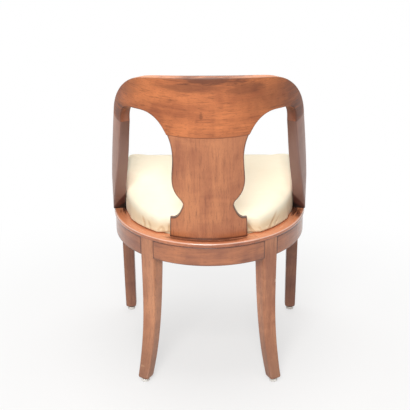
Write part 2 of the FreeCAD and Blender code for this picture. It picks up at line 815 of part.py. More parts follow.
def cushion_ring(share, side_bulge, splat_bulge, size, skin):
    """One closed ring of the cushion: round behind with a flatter place at the splat, squarer
    in front, and tilted so that the front is higher."""
    base_radius = rim_radius - covered_seat_inset
    side = base_radius + side_bulge + skin
    back = base_radius + splat_bulge + skin
    front = rim_depth - covered_seat_inset - rim_radius + side_bulge + skin
    places = []
    for step in shares(cushion_points_behind):
        angle = -90.0 + 180.0 * step
        blend = min(1.0, max(0.0, (abs(angle) - cushion_recess_angle) / cushion_shoulder_angle))
        radius = back + (side - back) * blend * blend * (3.0 - 2.0 * blend)
        turn = math.radians(angle)
        places.append((radius * math.sin(turn), radius * math.cos(turn)))
    power = 2.0 / cushion_front_squareness
    for step in shares(cushion_points_front)[1:-1]:
        turn = math.pi * step
        x = side * math.copysign(abs(math.cos(turn)) ** power, math.cos(turn))
        places.append((x, -front * math.sin(turn) ** power))
    middle = 0.5 * (back - front)
    points = []
    for x, y in places:
        x = x * size
        y = middle + (y - middle) * size
        slope = (rim_radius - y) / rim_depth
        top = cushion_rear_height + (cushion_front_height - cushion_rear_height) * slope
        height = cushion_bottom + share * (top - cushion_bottom + skin)
        points.append(Vector(x, seat_centre_y + y, height))
    curve = Part.BSplineCurve()
    curve.interpolate(Points=points, PeriodicFlag=True)
    return Part.Wire(curve.toShape())


def cushion_body(skin):
    rings = [cushion_ring(*ring, skin) for ring in cushion_rings]
    return Part.makeLoft(rings, True, False, False, cushion_loft_degree)


def seat_padding():
    """Stuffing over the frame, with a lip that runs down beside the frame's edge."""
    return cushion_body(0.0).cut(ring_prism(seat_frame_inset, seat_frame_top, hessian_top)).cut(
        ring_prism(seat_frame_inset, rail_top, seat_frame_top))


def seat_cover():
    """Fabric skin over the padding, down the frame's edge and under it."""
    frame = ring_prism(seat_frame_inset, rail_top, seat_frame_top)
    skin = cushion_body(cover_thickness).cut(cushion_body(0.0))
    skirt = ring_prism(covered_seat_inset, rail_top, cushion_bottom)
    skirt = skirt.cut(ring_prism(seat_frame_inset, rail_top, cushion_bottom))
    return skin.fuse([skirt, hem()]).removeSplitter().cut(frame.cut(hem()))


def build():
    left_rear_leg = rear_leg()
    left_front_leg = front_leg()
    rail_dowel_list = rail_dowels()
    stile_dowel_list = stile_dowels()
    crest_dowel_list = crest_dowels()
    seat_dowel_list = seat_dowels()
    screws = block_screws()
    rail_holes = dowel_holes(rail_dowel_list)
    stile_holes = dowel_holes(stile_dowel_list)
    crest_holes = dowel_holes(crest_dowel_list)
    seat_holes = dowel_holes(seat_dowel_list)
    screw_holes = both_sides([shape for pair in screws for shape in pair])
    tenon_mortise = splat_tenons(end_gap)[1]
    parts = {"splat": splat()}

    nails = []
    for place, leg in (("rear", left_rear_leg), ("front", left_front_leg)):
        centre = foot_centre(leg)
        nail = glide_nail(centre)
        leg = cut_all(leg, rail_holes + screw_holes + [nail])
        parts[place + "_leg_left"] = leg
        parts[place + "_leg_right"] = mirrored(leg)
        parts["glide_%s_left" % place] = glide(centre)
        parts["glide_%s_right" % place] = mirrored(glide(centre))
        nails += both_sides([nail])
    parts["glide_nails"] = Part.makeCompound(nails)

    rail_cutters = rail_holes + stile_holes + screw_holes
    parts["rear_rail"] = cut_all(rear_rail(), rail_cutters + [tenon_mortise])
    parts["front_rail"] = cut_all(front_rail(), rail_cutters)
    parts["side_rail_left"] = cut_all(side_rail(), rail_cutters)
    parts["side_rail_right"] = mirrored(parts["side_rail_left"])
    for name, piece in rim_pieces().items():
        parts[name] = cut_all(piece, stile_holes + [tenon_mortise])
    rails = [parts["rear_rail"], parts["side_rail_left"]]
    front_block = cut_all(front_corner_block(), rails + screw_holes)
    rear_block = cut_all(rear_corner_block(), rails + screw_holes + rail_holes)
    for name, piece in (("front", front_block), ("rear", rear_block)):
        parts["corner_block_%s_left" % name] = piece
        parts["corner_block_%s_right" % name] = mirrored(piece)
    parts["block_screws"] = Part.makeCompound(both_sides([screw for screw, pocket in screws]))

    parts["crest_rail"] = cut_all(crest_rail(), crest_holes)
    left_stile = cut_all(stile(), stile_holes + crest_holes)
    parts["stile_left"] = left_stile
    parts["stile_right"] = mirrored(left_stile)
    parts["rail_dowels"] = Part.makeCompound(dowel_rods(rail_dowel_list))
    parts["stile_dowels"] = Part.makeCompound(dowel_rods(stile_dowel_list))
    parts["crest_dowels"] = Part.makeCompound(dowel_rods(crest_dowel_list))

    tacks = cover_tacks()
    for name, piece in seat_frame().items():
        parts[name] = cut_all(piece, seat_holes + tacks)
    parts["seat_frame_dowels"] = Part.makeCompound(dowel_rods(seat_dowel_list))
    parts["webbing_lengthwise"] = webbing(True)
    parts["webbing_crosswise"] = webbing(False)
    parts["hessian"] = ring_prism(seat_frame_inset + hessian_inset, web_top, hessian_top)
    parts["seat_padding"] = seat_padding()
    parts["seat_cover"] = cut_all(seat_cover(), tacks)
    parts["cover_tacks"] = Part.makeCompound(tacks)
    return parts


if __name__ == "__main__":
    os.makedirs("parts", exist_ok=True)
    for name, shape in build().items():
        shape.exportStep("parts/" + name + ".step")
        state = "ok" if shape.isValid() else "INVALID"
        print("%-24s %s solids %d volume %.0f" % (name, state, len(shape.Solids), shape.Volume))
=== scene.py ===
import math
import bmesh
import bpy
import numpy as np
from mathutils import Matrix, Vector


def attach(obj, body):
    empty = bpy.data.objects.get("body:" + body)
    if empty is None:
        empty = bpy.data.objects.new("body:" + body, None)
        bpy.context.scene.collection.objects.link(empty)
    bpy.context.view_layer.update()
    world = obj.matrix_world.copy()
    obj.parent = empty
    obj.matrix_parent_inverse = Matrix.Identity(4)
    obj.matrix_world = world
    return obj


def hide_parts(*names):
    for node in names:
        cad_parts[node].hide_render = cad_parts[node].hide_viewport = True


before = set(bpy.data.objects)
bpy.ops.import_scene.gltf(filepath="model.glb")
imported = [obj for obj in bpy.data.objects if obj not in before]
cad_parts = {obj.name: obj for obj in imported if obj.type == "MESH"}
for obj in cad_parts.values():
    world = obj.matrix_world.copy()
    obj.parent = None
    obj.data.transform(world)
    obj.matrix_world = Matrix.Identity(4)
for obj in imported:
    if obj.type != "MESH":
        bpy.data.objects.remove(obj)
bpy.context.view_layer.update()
scene = bpy.context.scene
print("frame loaded:", len(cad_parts), "nodes")

# Barrel-back side chair seen from behind. Shapes are worked out in millimetres and put into
# meshes in metres. The floor is z 0, the sitter faces -Y, and +X is the sitter's left.
# A grid has a row per step along the piece and a column per point round its section, and comes
# with a grain grid: distance along the grain, across it and into the board, so that the wood
# follows the piece's bends.


# Number work shared by the pieces

def mixed(start, end, share):
    return start + (end - start) * share


def soften(value, low, high):  # 0 below low, 1 above high, smooth between
    share = np.clip((value - low) / (high - low), 0.0, 1.0)
    return share * share * (3.0 - 2.0 * share)


def stacked(*values):  # points from their coordinates, all of one shape
    return np.stack(np.broadcast_arrays(*values), axis=-1)


def runLength(points):  # distance from the first row, along each column
    steps = np.linalg.norm(np.diff(points, axis=0), axis=-1)
    return np.concatenate([np.zeros((1,) + steps.shape[1:]), np.cumsum(steps, axis=0)])


def readAt(line, length, wanted):  # the line's points at the wanted lengths
    return stacked(*[np.interp(wanted, length, column) for column in line.T])


def evenly(line, count):  # the same line read at even distances
    length = runLength(line)
    return readAt(line, length, np.linspace(0.0, length[-1], count))


def smoothLine(points, count):  # natural cubic through the points, evenly spaced
    points = np.asarray(points, float)
    places = runLength(points)
    steps = np.diff(places)
    size = len(points)
    system = np.eye(size)
    rows = np.arange(1, size - 1)
    system[rows, rows - 1] = steps[:-1]
    system[rows, rows] = 2.0 * (steps[:-1] + steps[1:])
    system[rows, rows + 1] = steps[1:]
    pull = np.zeros_like(points)
    pull[1:-1] = 6.0 * np.diff(np.diff(points, axis=0) / steps[:, None], axis=0)
    bend = np.linalg.solve(system, pull)
    fine = np.linspace(0.0, places[-1], 40 * size)
    left = np.clip(np.searchsorted(places, fine, side="right") - 1, 0, size - 2)
    span = steps[left][:, None]
    ahead = (places[left + 1] - fine)[:, None] / span
    behind = 1.0 - ahead
    curve = ((ahead ** 3 - ahead) * bend[left] + (behind ** 3 - behind) * bend[left + 1]) * span ** 2 / 6.0
    return evenly(ahead * points[left] + behind * points[left + 1] + curve, count)


def quarter(count):  # sine and cosine over a quarter turn
    turn = np.linspace(0.0, 0.5 * np.pi, count)
    return np.sin(turn), np.cos(turn)


def mirrored(grid):
    return grid * np.array([-1.0, 1.0, 1.0])


# Meshes from grids, and their places in the frame

sharpAngle = math.radians(35.0)  # edges past this stay crisp


def putMesh(name, points, faces, grain=None, edge=None):
    mesh = bpy.data.meshes.new(name)
    mesh.from_pydata((points.reshape(-1, 3) / 1000.0).tolist(), [], faces)
    if grain is not None:
        layer = mesh.attributes.new("grain", "FLOAT_VECTOR", "POINT")
        layer.data.foreach_set("vector", (grain.reshape(-1) / 1000.0).astype(np.float32))
        layer = mesh.attributes.new("arris", "FLOAT", "POINT")
        layer.data.foreach_set("value", edge.reshape(-1).astype(np.float32))
    build = bmesh.new()
    build.from_mesh(mesh)
    bmesh.ops.recalc_face_normals(build, faces=build.faces)
    build.to_mesh(mesh)
    build.free()
    mesh.shade_smooth()
    mesh.set_sharp_from_angle(angle=sharpAngle)
    piece = bpy.data.objects.new(name, mesh)
    scene.collection.objects.link(piece)
    return piece


def gridFaces(grid, capped=True, ringed=False):
    # quads between neighbouring rows and columns; the caps join opposite points of an end row
    rows, columns = grid.shape[:2]
    index = np.arange(rows * columns).reshape(rows, columns)
    below = index if ringed else index[:-1]
    above = np.roll(index, -1, axis=0) if ringed else index[1:]
    quads = np.stack([below, np.roll(below, -1, axis=1), np.roll(above, -1, axis=1), above], axis=-1)
    faces = quads.reshape(-1, 4).tolist()
    if capped:
        step = np.arange(columns // 2 - 1)
        for row, turned in ((index[0], 1), (index[-1], -1)):
            strip = stacked(row[step], row[columns - 1 - step], row[columns - 2 - step], row[step + 1])
            faces += strip[:, ::turned].tolist()
    return faces


def setInFrame(piece, finish, body, slot, *nodes):
    piece.data.materials.append(finish)
    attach(piece, body)
    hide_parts(*nodes)


def nodeBox(name):  # low and high corner of a node of the frame
    corners = 1000.0 * np.array([list(corner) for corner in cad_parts[name].bound_box])
    return np.round([corners.min(axis=0), corners.max(axis=0)], 3)


def boardSection(arris, innerArris, across, sideCount=3, curve=5):
    # closed outline of a board with round arrises: its place across is share * width + offset, its
    # depth is deep * thickness + deepOffset. Each corner is a quarter turn about its own centre,
    # from the outer low one to the inner low one, with even steps between them.
    share, deep = np.array([[0.0, 1.0, 1.0, 0.0], [0.0, 0.0, 1.0, 1.0]])[..., None]
    radius = np.array([arris, arris, innerArris, innerArris])[:, None]
    turn = 0.5 * np.pi * (np.arange(4)[:, None] + np.linspace(0.0, 1.0, curve))
    corners = stacked(share, radius * (1 - 2 * share - np.cos(turn)),
                      deep, radius * (1 - 2 * deep - np.sin(turn)))
    parts = []
    for number, count in enumerate([across - 2, sideCount] * 2):
        step = np.linspace(0.0, 1.0, count + 2)[1:-1, None]
        parts += [corners[number], mixed(corners[number, -1], corners[(number + 1) % 4, 0], step)]
    return np.concatenate(parts).T[:, None]


def nearEdge(section, width, thickness=0.0, reach=2.4):
    # 1 on an arris, falling to 0 over the reach; with no thickness the narrow sides count as arris
    share, offset, deep, deepOffset = section
    place = share * width + offset
    depth = (deep * thickness + deepOffset) * (thickness > 0.0)
    return np.exp(-(np.minimum(place, width - place) + np.minimum(depth, thickness - depth)) / reach)


def nearEnd(length, reach=1.3):  # 1 at both ends of a run
    return np.exp(-np.minimum(length, length[-1:] - length) / reach)


# Shader writing: a node's output behaves as a number in sums

class Amount:
    def __init__(self, nodes, socket):
        self.nodes = nodes
        self.socket = socket

    def __add__(self, other):
        return self.nodes.math("ADD", self, other)

    def __sub__(self, other):
        return self.nodes.math("SUBTRACT", self, other)

    def __rsub__(self, other):
        return self.nodes.math("SUBTRACT", other, self)

    def __mul__(self, other):
        return self.nodes.math("MULTIPLY", self, other)

    __radd__ = __add__
    __rmul__ = __mul__


class Nodes:
    def __init__(self, tree):
        self.tree = tree
        self.tree.nodes.clear()

    def add(self, kind, settings=None, values=None, output=0):  # gives one output of a new node
        node = self.tree.nodes.new("ShaderNode" + kind)
        for name, value in (settings or {}).items():
            setattr(node, name, value)
        for name, value in (values or {}).items():
            self.feed(node.inputs[name], value)
        return Amount(self, node.outputs[output])

    def feed(self, place, value):
        if isinstance(value, Amount):
            self.tree.links.new(value.socket, place)
        else:
            place.default_value = value

    def math(self, operation, *terms):
        return self.add("Math", {"operation": operation}, dict(enumerate(terms)))

    def between(self, value, low, high, start=0.0, end=1.0):  # smooth step, rising or falling
        return self.add("MapRange", {"interpolation_type": "SMOOTHSTEP"},
                        {"Value": value, "From Min": low, "From Max": high, "To Min": start, "To Max": end})

    def seen(self):  # 1 for rays from the camera, a reflection or glass
        camera, glossy, glass = [self.add("LightPath", output="Is %s Ray" % kind)
                                 for kind in ("Camera", "Glossy", "Transmission")]
        return self.math("MAXIMUM", self.math("MAXIMUM", camera, glossy), glass)


class Finish(Nodes):
    def __init__(self, name):
        self.material = bpy.data.materials.new(name)
        self.material.use_nodes = True
        super().__init__(self.material.node_tree)
        self.shader = self.add("BsdfPrincipled")
        self.output = self.tree.nodes.new("ShaderNodeOutputMaterial")
        self.feed(self.output.inputs["Surface"], self.shader)

    def set(self, **values):  # BaseColor is the shader's Base Color, and so on
        for name, value in values.items():
            spaced = "".join(" " + letter if letter.isupper() else letter for letter in name).strip()
            self.feed(self.shader.socket.node.inputs[spaced], value)
        return self.material

    def stored(self, name, output="Vector"):  # an attribute of the piece's points
        return self.add("Attribute", {"attribute_name": name}, output=output)

    def place(self):
        return self.add("TexCoord", output="Object")

    def facing(self):
        return self.add("NewGeometry", output="Normal")

    def axes(self, vector):  # the vector's x, y and z
        node = self.add("SeparateXYZ", None, {0: vector}).socket.node
        return [Amount(self, socket) for socket in node.outputs]

    def stretched(self, vector, scale, shift=(0.0, 0.0, 0.0)):
        return self.add("Mapping", {"vector_type": "POINT"},
                        {"Vector": vector, "Scale": scale, "Location": shift})

    def noise(self, vector, scale, detail, rough=0.55, warp=0.0, shift=(0.0, 0.0, 0.0)):
        return self.add("TexNoise", None, {
            "Vector": self.stretched(vector, np.broadcast_to(scale, 3), shift), "Scale": 1.0,
            "Detail": detail, "Roughness": rough, "Distortion": warp})

    def tint(self, share, first, second):
        return self.add("Mix", {"data_type": "RGBA"}, {0: share, 6: first, 7: second}, output=2)

    def laid(self, shade, tone, strength, value, fade):
        # the tone over the shade, from the value where it starts to the one where it is full
        return self.tint(self.between(value, *fade) * strength, shade, tone)

    def bump(self, height, distance, strength):
        return self.add("Bump", None,
                        {"Height": height, "Distance": distance, "Strength": strength}, output="Normal")


def colour(red, green, blue):  # screen colour, 0 to 255, as the shader wants it
    screen = np.array([red, green, blue]) / 255.0
    linear = np.where(screen <= 0.04045, screen / 12.92, ((screen + 0.055) / 1.055) ** 2.4)
    return (*linear.tolist(), 1.0)


# Polished wood: a broad drift of colour, ribbon figure, streaks along the grain, fine dark
# pores, and darker edges, partly wear and partly painted shade. Each look changes some of these
# values for its pieces.

mahogany = {
    "light": colour(206, 132, 86), "mid": colour(164, 95, 62), "dark": colour(88, 46, 30),
    "stainAndShadeTone": colour(84, 42, 26), "edge": colour(62, 36, 26),
    # layers: scale along the grain, across it and into the board, then detail, roughness, warp
    "drift": ((5.0, 16.0, 12.0), 3.0, 0.5, 0.4), "ribbon": ((22.0, 9.0, 9.0), 2.0, 0.5, 1.2),
    "wide": ((6.0, 70.0, 40.0), 3.0, 0.6, 0.6), "streak": ((26.0, 230.0, 120.0), 5.0, 0.7, 0.3),
    "pore": ((130.0, 900.0, 500.0), 2.0, 0.55, 0.0), "shift": 0.0,
    # the layers' values where each tone starts and where it is full
    "blended": (0.34, 0.68), "streaked": (0.46, 0.80), "pored": (0.58, 0.72), "worn": (0.2, 0.8),
    "figure": 0.5, "pores": 0.8, "wear": 0.88, "roughness": 0.36, "coat": 0.25, "coatRoughness": 0.2,
    # spots of real stain and of painted shade, shadow and highlight: place along and across the grain,
    # reach along and across it, strength, tone if its own
    "stainsAndPaintedLight": [],
    # levels: tones by height, here painted shade, painted shadow and painted reflection, and darker
    # towards the floor on the rear legs: height where a tone starts and where it is full below that,
    # strength, tone, and how much lower it lies for each step into the board
    "levels": [],
    # facings: painted highlight and light by how far up a face looks: where a tone starts and where
    # it is full, strength, tone
    "facings": [],
}
# a shaded copy of the mahogany, duller and darker: painted shade for pieces that stand in shade
shadedMahogany = dict(mahogany, light=colour(192, 128, 94), mid=colour(152, 96, 74), edge=colour(106, 76, 64),
             coat=0.1, roughness=0.45)
looks = {
    "crest": dict(
        mahogany, light=colour(214, 128, 76), mid=colour(160, 88, 52), coat=0.0, roughness=0.56, figure=0.72,
        # levels: painted shade on the crest's inner face low down, by the joint and the arch corners
        shift=0.3, levels=[(0.645, 0.60, 0.6, colour(152, 102, 80), 4.0)],
        # facings: painted highlight on the top face
        facings=[(0.35, 0.7, 0.22, colour(250, 204, 172))],
        stainsAndPaintedLight=[(-0.005, 0.789, 0.13, 0.011, 0.8), (0.03, 0.772, 0.10, 0.013, 0.5),
                (-0.09, 0.765, 0.06, 0.018, 0.45), (0.015, 0.706, 0.005, 0.012, 0.45),
                # spots from here on are painted shade: the ends, the arch corners, the far left and the right
                (0.33, 0.70, 0.10, 0.09, 0.5), (-0.32, 0.70, 0.15, 0.10, 0.55),
                (0.262, 0.664, 0.05, 0.04, 0.7), (-0.262, 0.664, 0.05, 0.04, 0.7),
                (0.25, 0.76, 0.08, 0.04, 0.35), (-0.19, 0.74, 0.12, 0.05, 0.32)]),
    # levels: painted shadow along the splat's foot
    "splat": dict(mahogany, shift=1.7, levels=[(0.390, 0.3845, 0.9, mahogany["stainAndShadeTone"], 0.0)]),
    # levels: painted reflection, greyer low on the stiles, and painted shadow, dark red to black, where they
    # meet the rim
    "stile": dict(shadedMahogany, shift=2.9, levels=[
        (0.66, 0.56, 0.45, colour(150, 118, 108), 0.0), (0.394, 0.382, 0.85, colour(70, 24, 16), 1.7),
        (0.388, 0.376, 0.96, colour(14, 7, 6), 0.7)]),
    "rim": dict(
        mahogany, light=colour(208, 128, 84), mid=colour(146, 78, 50), roughness=0.24, coat=0.8,
        coatRoughness=0.1, figure=0.8, shift=4.1,
        # spots: painted shade on the top before the splat's foot, painted shadow beside each stile's foot
        stainsAndPaintedLight=[(1.028, 0.016, 0.14, 0.010, 0.75), (1.992, 0.032, 0.030, 0.018, 0.95),
                (2.888, 0.026, 0.042, 0.026, 0.9)],
        # facings: painted highlight along the nose; the flat top painted its light tone
        facings=[(0.40, 0.58, 0.6, colour(250, 216, 194)), (0.70, 0.90, 0.9, colour(208, 128, 84))]),
    "rail": dict(mahogany, light=colour(198, 124, 80), mid=colour(144, 86, 62), edge=colour(88, 54, 40),
                 coat=0.55, coatRoughness=0.14, shift=5.3),
    "leg": dict(
        mahogany, light=colour(210, 144, 104), mid=colour(165, 102, 71), edge=colour(108, 68, 52), shift=6.7,
        # painted highlights: two small pale spots on the rear legs
        stainsAndPaintedLight=[(0.938, 0.377, 0.0024, 0.008, 0.9, colour(228, 172, 130)),
                (1.652, 0.574, 0.007, 0.0026, 0.9, colour(232, 196, 168))],
        levels=[(0.17, 0.0, 0.62, colour(114, 84, 69), 0.0)]),
    # front legs: darker still, painted shade under the seat
    "front_leg": dict(shadedMahogany, light=colour(172, 117, 89), mid=colour(134, 87, 69), edge=colour(104, 70, 54),
                      shift=7.9),
}


def woodFinish(name, look):
    finish = Finish(name)
    grain = finish.stored("grain")
    shift = look["shift"]
    shifts = {"drift": (shift, shift, 0.0), "ribbon": (shift, 2.0, 0.0), "wide": (shift, 0.0, 3.0)}
    drift, ribbon, wide, streak, pore = [finish.noise(grain, *look[layer], shifts.get(layer, (0.0, 0.0, 0.0)))
                                         for layer in ("drift", "ribbon", "wide", "streak", "pore")]
    share = finish.between(drift * 0.5 + wide * 0.25 + ribbon * 0.25, *look["blended"])
    shade = finish.tint(share, look["light"], look["mid"])
    shade = finish.laid(shade, look["dark"], look["figure"], streak, look["streaked"])
    shade = finish.laid(shade, look["dark"], look["pores"] * look["figure"], pore, look["pored"])
    # painted light: tones laid on by how far up each face looks
    upward = finish.axes(finish.facing())[2]
    for *fade, strength, tone in look["facings"]:
        shade = finish.laid(shade, tone, strength, upward, fade)
    # spots: real stains, and painted shade, shadow and highlights
    for along, across, reachAlong, reachAcross, strength, *tone in look["stainsAndPaintedLight"]:
        spot = finish.stretched(grain, (1.0 / reachAlong, 1.0 / reachAcross, 0.0),
                                (-along / reachAlong, -across / reachAcross, 0.0))
        away = finish.add("VectorMath", {"operation": "LENGTH"}, {0: spot}, output="Value")
        ragged = away + (streak - 0.5) * 2.0 + (wide - 0.5) * 1.8
        shade = finish.laid(shade, (tone or [look["stainAndShadeTone"]])[0], strength, ragged, (1.0, 0.4))
    # darker edges: partly wear, partly painted shade
    worn = finish.stored("arris", "Fac") + (drift - 0.5) * 0.4
    shade = finish.laid(shade, look["edge"], look["wear"], worn, look["worn"])
    # tones by height: painted shade, shadow and reflection, and the rear legs darker towards the floor
    level, depth = finish.axes(finish.place())[2], finish.axes(grain)[2]
    for start, full, strength, tone, slope in look["levels"]:
        height = level - depth * slope + (wide - 0.5) * (0.5 * (start - full))
        shade = finish.laid(shade, tone, strength, height, (start, full))
    roughness = finish.between(streak, 0.3, 0.8, look["roughness"] - 0.05, look["roughness"] + 0.08)
    return finish.set(BaseColor=shade, Roughness=roughness, CoatWeight=look["coat"],
                      CoatRoughness=look["coatRoughness"],
                      Normal=finish.bump(pore * -0.5 + streak * 0.6, 0.0002, 0.5))


# The chair's own surfaces, as in the frame: a half circle behind, straight sides, and a barrel
# that narrows and leans back as it rises

sideBox = nodeBox("rim_left")
crestBox = nodeBox("crest_rail")
postBox = nodeBox("front_leg_left")
ring = {"radius": sideBox[1, 0], "depth": 396.0, "width": 38.0, "top": sideBox[1, 2],
        "bottom": sideBox[0, 2], "front": nodeBox("rim_front")[0, 1]}
origin = ring["front"] + ring["depth"]  # y of the rim's nose at the rear centre
ringY = origin - ring["radius"]
barrel = {"width": 246.0, "narrowing": 28.2, "straight": 470.0, "power": 1.25, "lean": 25.0,
          "top": crestBox[1, 2], "joint": crestBox[0, 2], "thickness": 24.0, "foot": 31.0}


def barrelWidth(height):  # half width, falling as a power above the straight part
    rise = np.maximum(0.0, height - barrel["straight"]) / (barrel["top"] - barrel["straight"])
    return barrel["width"] - barrel["narrowing"] * rise ** barrel["power"]


def barrelMiddle(height):  # y of the barrel's axis; its rear line leans back evenly
    lean = barrel["lean"] * (height - ring["top"]) / (barrel["top"] - ring["top"])
    return origin + lean - barrelWidth(height)


def onBarrel(angle, height, inset):  # angle from the rear, height, depth under the outer face
    radius = barrelWidth(height) - inset
    return stacked(radius * np.sin(angle), barrelMiddle(height) + radius * np.cos(angle), height)


def onBarrelSide(height, distance, inset):  # the same by distance forwards; straight past the axis
    behind = origin - distance - barrelMiddle(height)
    angle = np.arccos(np.clip(behind / barrelWidth(height), 0.0, 1.0))
    place = onBarrel(angle, height, inset)
    place[..., 1] = np.where(behind > 0.0, place[..., 1], origin - distance)
    return place


def onRing(angle, radius):  # level path round the seat's centre
    return stacked(radius * np.sin(angle), ringY + radius * np.cos(angle), 0.0)


# Crest: a board bent to the barrel, between its lower line (joint, then arch) and its upper line.
# Lines are angles in degrees from the rear and heights.

crest = {
    "upper": [(-12, 794.8), (0, 796), (12, 794.8), (24, 791.5), (41, 783), (50, 774.5), (60, 755),
              (70, 725.5), (80, 686.5), (87.6, 650)],
    "arch": [(24.2, 654.5), (28.2, 678), (33.8, 695.5), (40, 702.5), (48.3, 701.5), (57, 696.5), (62, 685),
             (63.6, 669), (62.9, 650)],
    # which length of the lower line lies across from which length of the upper one
    "pairs": [(0, 0), (98, 80), (127, 100), (155, 122), (181, 148), (215, 183), (250, 218), (262, 236),
              (274, 258), (285, 288), (291, 310), (310, 363)],
    "joint": 652.0, "jointRise": 0.144, "jointRadius": 232.0, "meanRadius": 230.0, "grainRadius": 228.0,
    "arris": 2.6, "innerArris": 2.0, "rows": 150, "across": 16,
}
unrolled = np.array([crest["meanRadius"], 1.0])  # angle and height to millimetres


def barrelLine(points, count):
    return smoothLine(np.array(points) * [math.radians(1.0), 1.0] * unrolled, count) / unrolled


def crestLines():
    # the lower and the upper line from the middle to the stile, row by row across from each other
    upper = barrelLine(crest["upper"], 900)
    upper = evenly(upper[upper[:, 0] >= -0.001] * unrolled, 700) / unrolled
    arch = barrelLine(crest["arch"], 500)
    angle = np.linspace(0.0, arch[0, 0], 200)
    height = crest["joint"] + crest["jointRise"] * crest["jointRadius"] * (1 - np.cos(angle))
    height += (arch[0, 1] - height[-1]) * (angle / angle[-1]) ** 2
    lower = np.concatenate([stacked(angle, height), arch[1:]])
    lowerRun, upperRun = runLength(lower * unrolled), runLength(upper * unrolled)
    pairs = np.array(crest["pairs"], float)
    pairs *= [lowerRun[-1] / pairs[-1, 0], upperRun[-1] / pairs[-1, 1]]
    corner = arch[0, 0] * crest["meanRadius"]
    place = np.linspace(0.0, lowerRun[-1], crest["rows"])
    place[np.argmin(np.abs(place - corner))] = corner
    return readAt(lower, lowerRun, place), readAt(upper, upperRun, np.interp(place, *pairs.T))


def crestGrids():
    low, high = [np.concatenate([line[:0:-1] * [-1.0, 1.0], line]) for line in crestLines()]
    width = np.linalg.norm((high - low) * unrolled, axis=1, keepdims=True)
    section = boardSection(crest["arris"], crest["innerArris"], crest["across"])
    share, offset, deep, deepOffset = section
    place = share + offset / width
    angle = mixed(low[:, :1], high[:, :1], place)
    height = mixed(low[:, 1:], high[:, 1:], place)
    inset = deep * barrel["thickness"] + deepOffset
    grain = stacked(angle * crest["grainRadius"], height, inset)
    return onBarrel(angle, height, inset), grain, nearEdge(section, width, barrel["thickness"])


# Stiles: level sections of the barrel between a rear and a front edge that sweep forwards.
# Edges are heights and distances forwards from the rim's nose.

stile = {
    "rear": [(650, 110), (612, 116.5), (572, 123), (523, 136), (471, 157), (427, 183), (399, 206),
             (383, 214)],
    "front": [(650, 205.5), (619, 221.5), (585, 235), (545, 248), (500, 262), (455, 279), (418, 302),
              (383, 338)],
    "arris": 2.6, "innerArris": 2.4, "rows": 110, "across": 16,
    "grainSlope": 60.0,  # how far the grain leans across by the foot
    "jointLine": 0.8, "jointReach": 1.6,  # darkness and reach of the line under the crest
}


def heightLine(points, height):  # the edge's distance at each height
    line = smoothLine(points, 600)
    return np.interp(height, line[::-1, 0], line[::-1, 1])


def stileGrids():
    height = np.linspace(barrel["joint"], ring["top"], stile["rows"])[:, None]
    rear, front = heightLine(stile["rear"], height), heightLine(stile["front"], height)
    section = boardSection(stile["arris"], stile["innerArris"], stile["across"])
    share, offset, deep, deepOffset = section
    drop = (barrel["joint"] - height) / (barrel["joint"] - ring["top"])
    distance = mixed(rear, front, share) + offset
    inset = deep * mixed(barrel["thickness"], barrel["foot"], drop) + deepOffset
    grain = stacked(height, distance - rear + stile["grainSlope"] * drop, inset)
    joint = stile["jointLine"] * np.exp((height - barrel["joint"]) / stile["jointReach"])
    return onBarrelSide(height, distance, inset), grain, np.maximum(nearEdge(section, front - rear), joint)


# Splat: a leaning curved board sawn straight through from the back to a vase outline, with a
# sharp shelf above its foot. Outlines are heights and half widths.

splat = {
    "outline": [(655.5, 93.4), (638, 87.6), (620, 84), (592, 82.6), (560, 84.6), (530, 85.2), (511, 80.8),
                (492, 69), (483, 61.8), (476.5, 59.8), (464, 62.8), (448, 70.5), (440, 77.5), (437.6, 81)],
    "shelf": [(437, 83), (436.4, 88.4), (435.6, 90.6), (433.4, 91.6), (383, 93)],
    "footRadius": 219.5, "setback": 2.0, "thickness": 12.0, "arris": 1.6, "rows": 230, "across": 34,
    "headLift": (600.0, 655.0),  # where the sides rise to the crest's bowed joint
}


def splatGrids():
    upper = smoothLine(splat["outline"], 180)
    lower = evenly(np.vstack([upper[-1:], splat["shelf"]]), 70)
    line = evenly(np.concatenate([upper, lower[1:]]), splat["rows"])
    tangent = np.gradient(line, axis=0)
    tangent /= np.linalg.norm(tangent, axis=1, keepdims=True)
    inward = stacked(-tangent[:, 1], tangent[:, 0])
    inward *= np.sign(1e-9 - inward[:, 1:])
    row = np.arange(len(line))
    inward[:, 0] *= np.minimum(1.0, np.minimum(row, row[::-1]) / 3.0)  # level at both ends
    share, offset, deep, deepOffset = boardSection(splat["arris"], splat["arris"], splat["across"])
    drawn = np.where((share == 0.0) | (share == 1.0), np.abs(offset), splat["arris"])
    height = line[:, :1] + inward[:, :1] * drawn
    half = line[:, 1:] + inward[:, 1:] * drawn
    across = (2.0 * share - 1.0) * half
    top = crest["joint"]
    rise = (height - ring["top"]) / (top - ring["top"])
    radius = mixed(splat["footRadius"], barrelWidth(top) - splat["setback"], rise)
    middle = mixed(ringY, barrelMiddle(top), rise)
    inset = deep * splat["thickness"] + deepOffset
    sagged = np.sqrt(radius ** 2 - across ** 2) - np.sqrt(radius ** 2 - half ** 2)
    height = height - soften(height, *splat["headLift"]) * crest["jointRise"] * sagged
    grid = stacked(across, middle + np.sqrt((radius - inset) ** 2 - across ** 2), height)
    return grid, stacked(height, across, inset), np.exp(-(line[:, 1:] - np.abs(across)) / 2.4)


# Rim: a flat moulding with a round nose, carried round the ring; its front corners are mitred

rim = {"nose": 5.0, "inner": 1.6, "corner": 10.0, "leastCorner": 0.3, "backAngle": 30.0, "rows": 90,
       "jointLine": 0.4}


def roundBack(start, end, count, radius):  # the ring's arc from one angle to another
    return onRing(mixed(start, end, np.linspace(0.0, 1.0, count)[:, None]), radius)


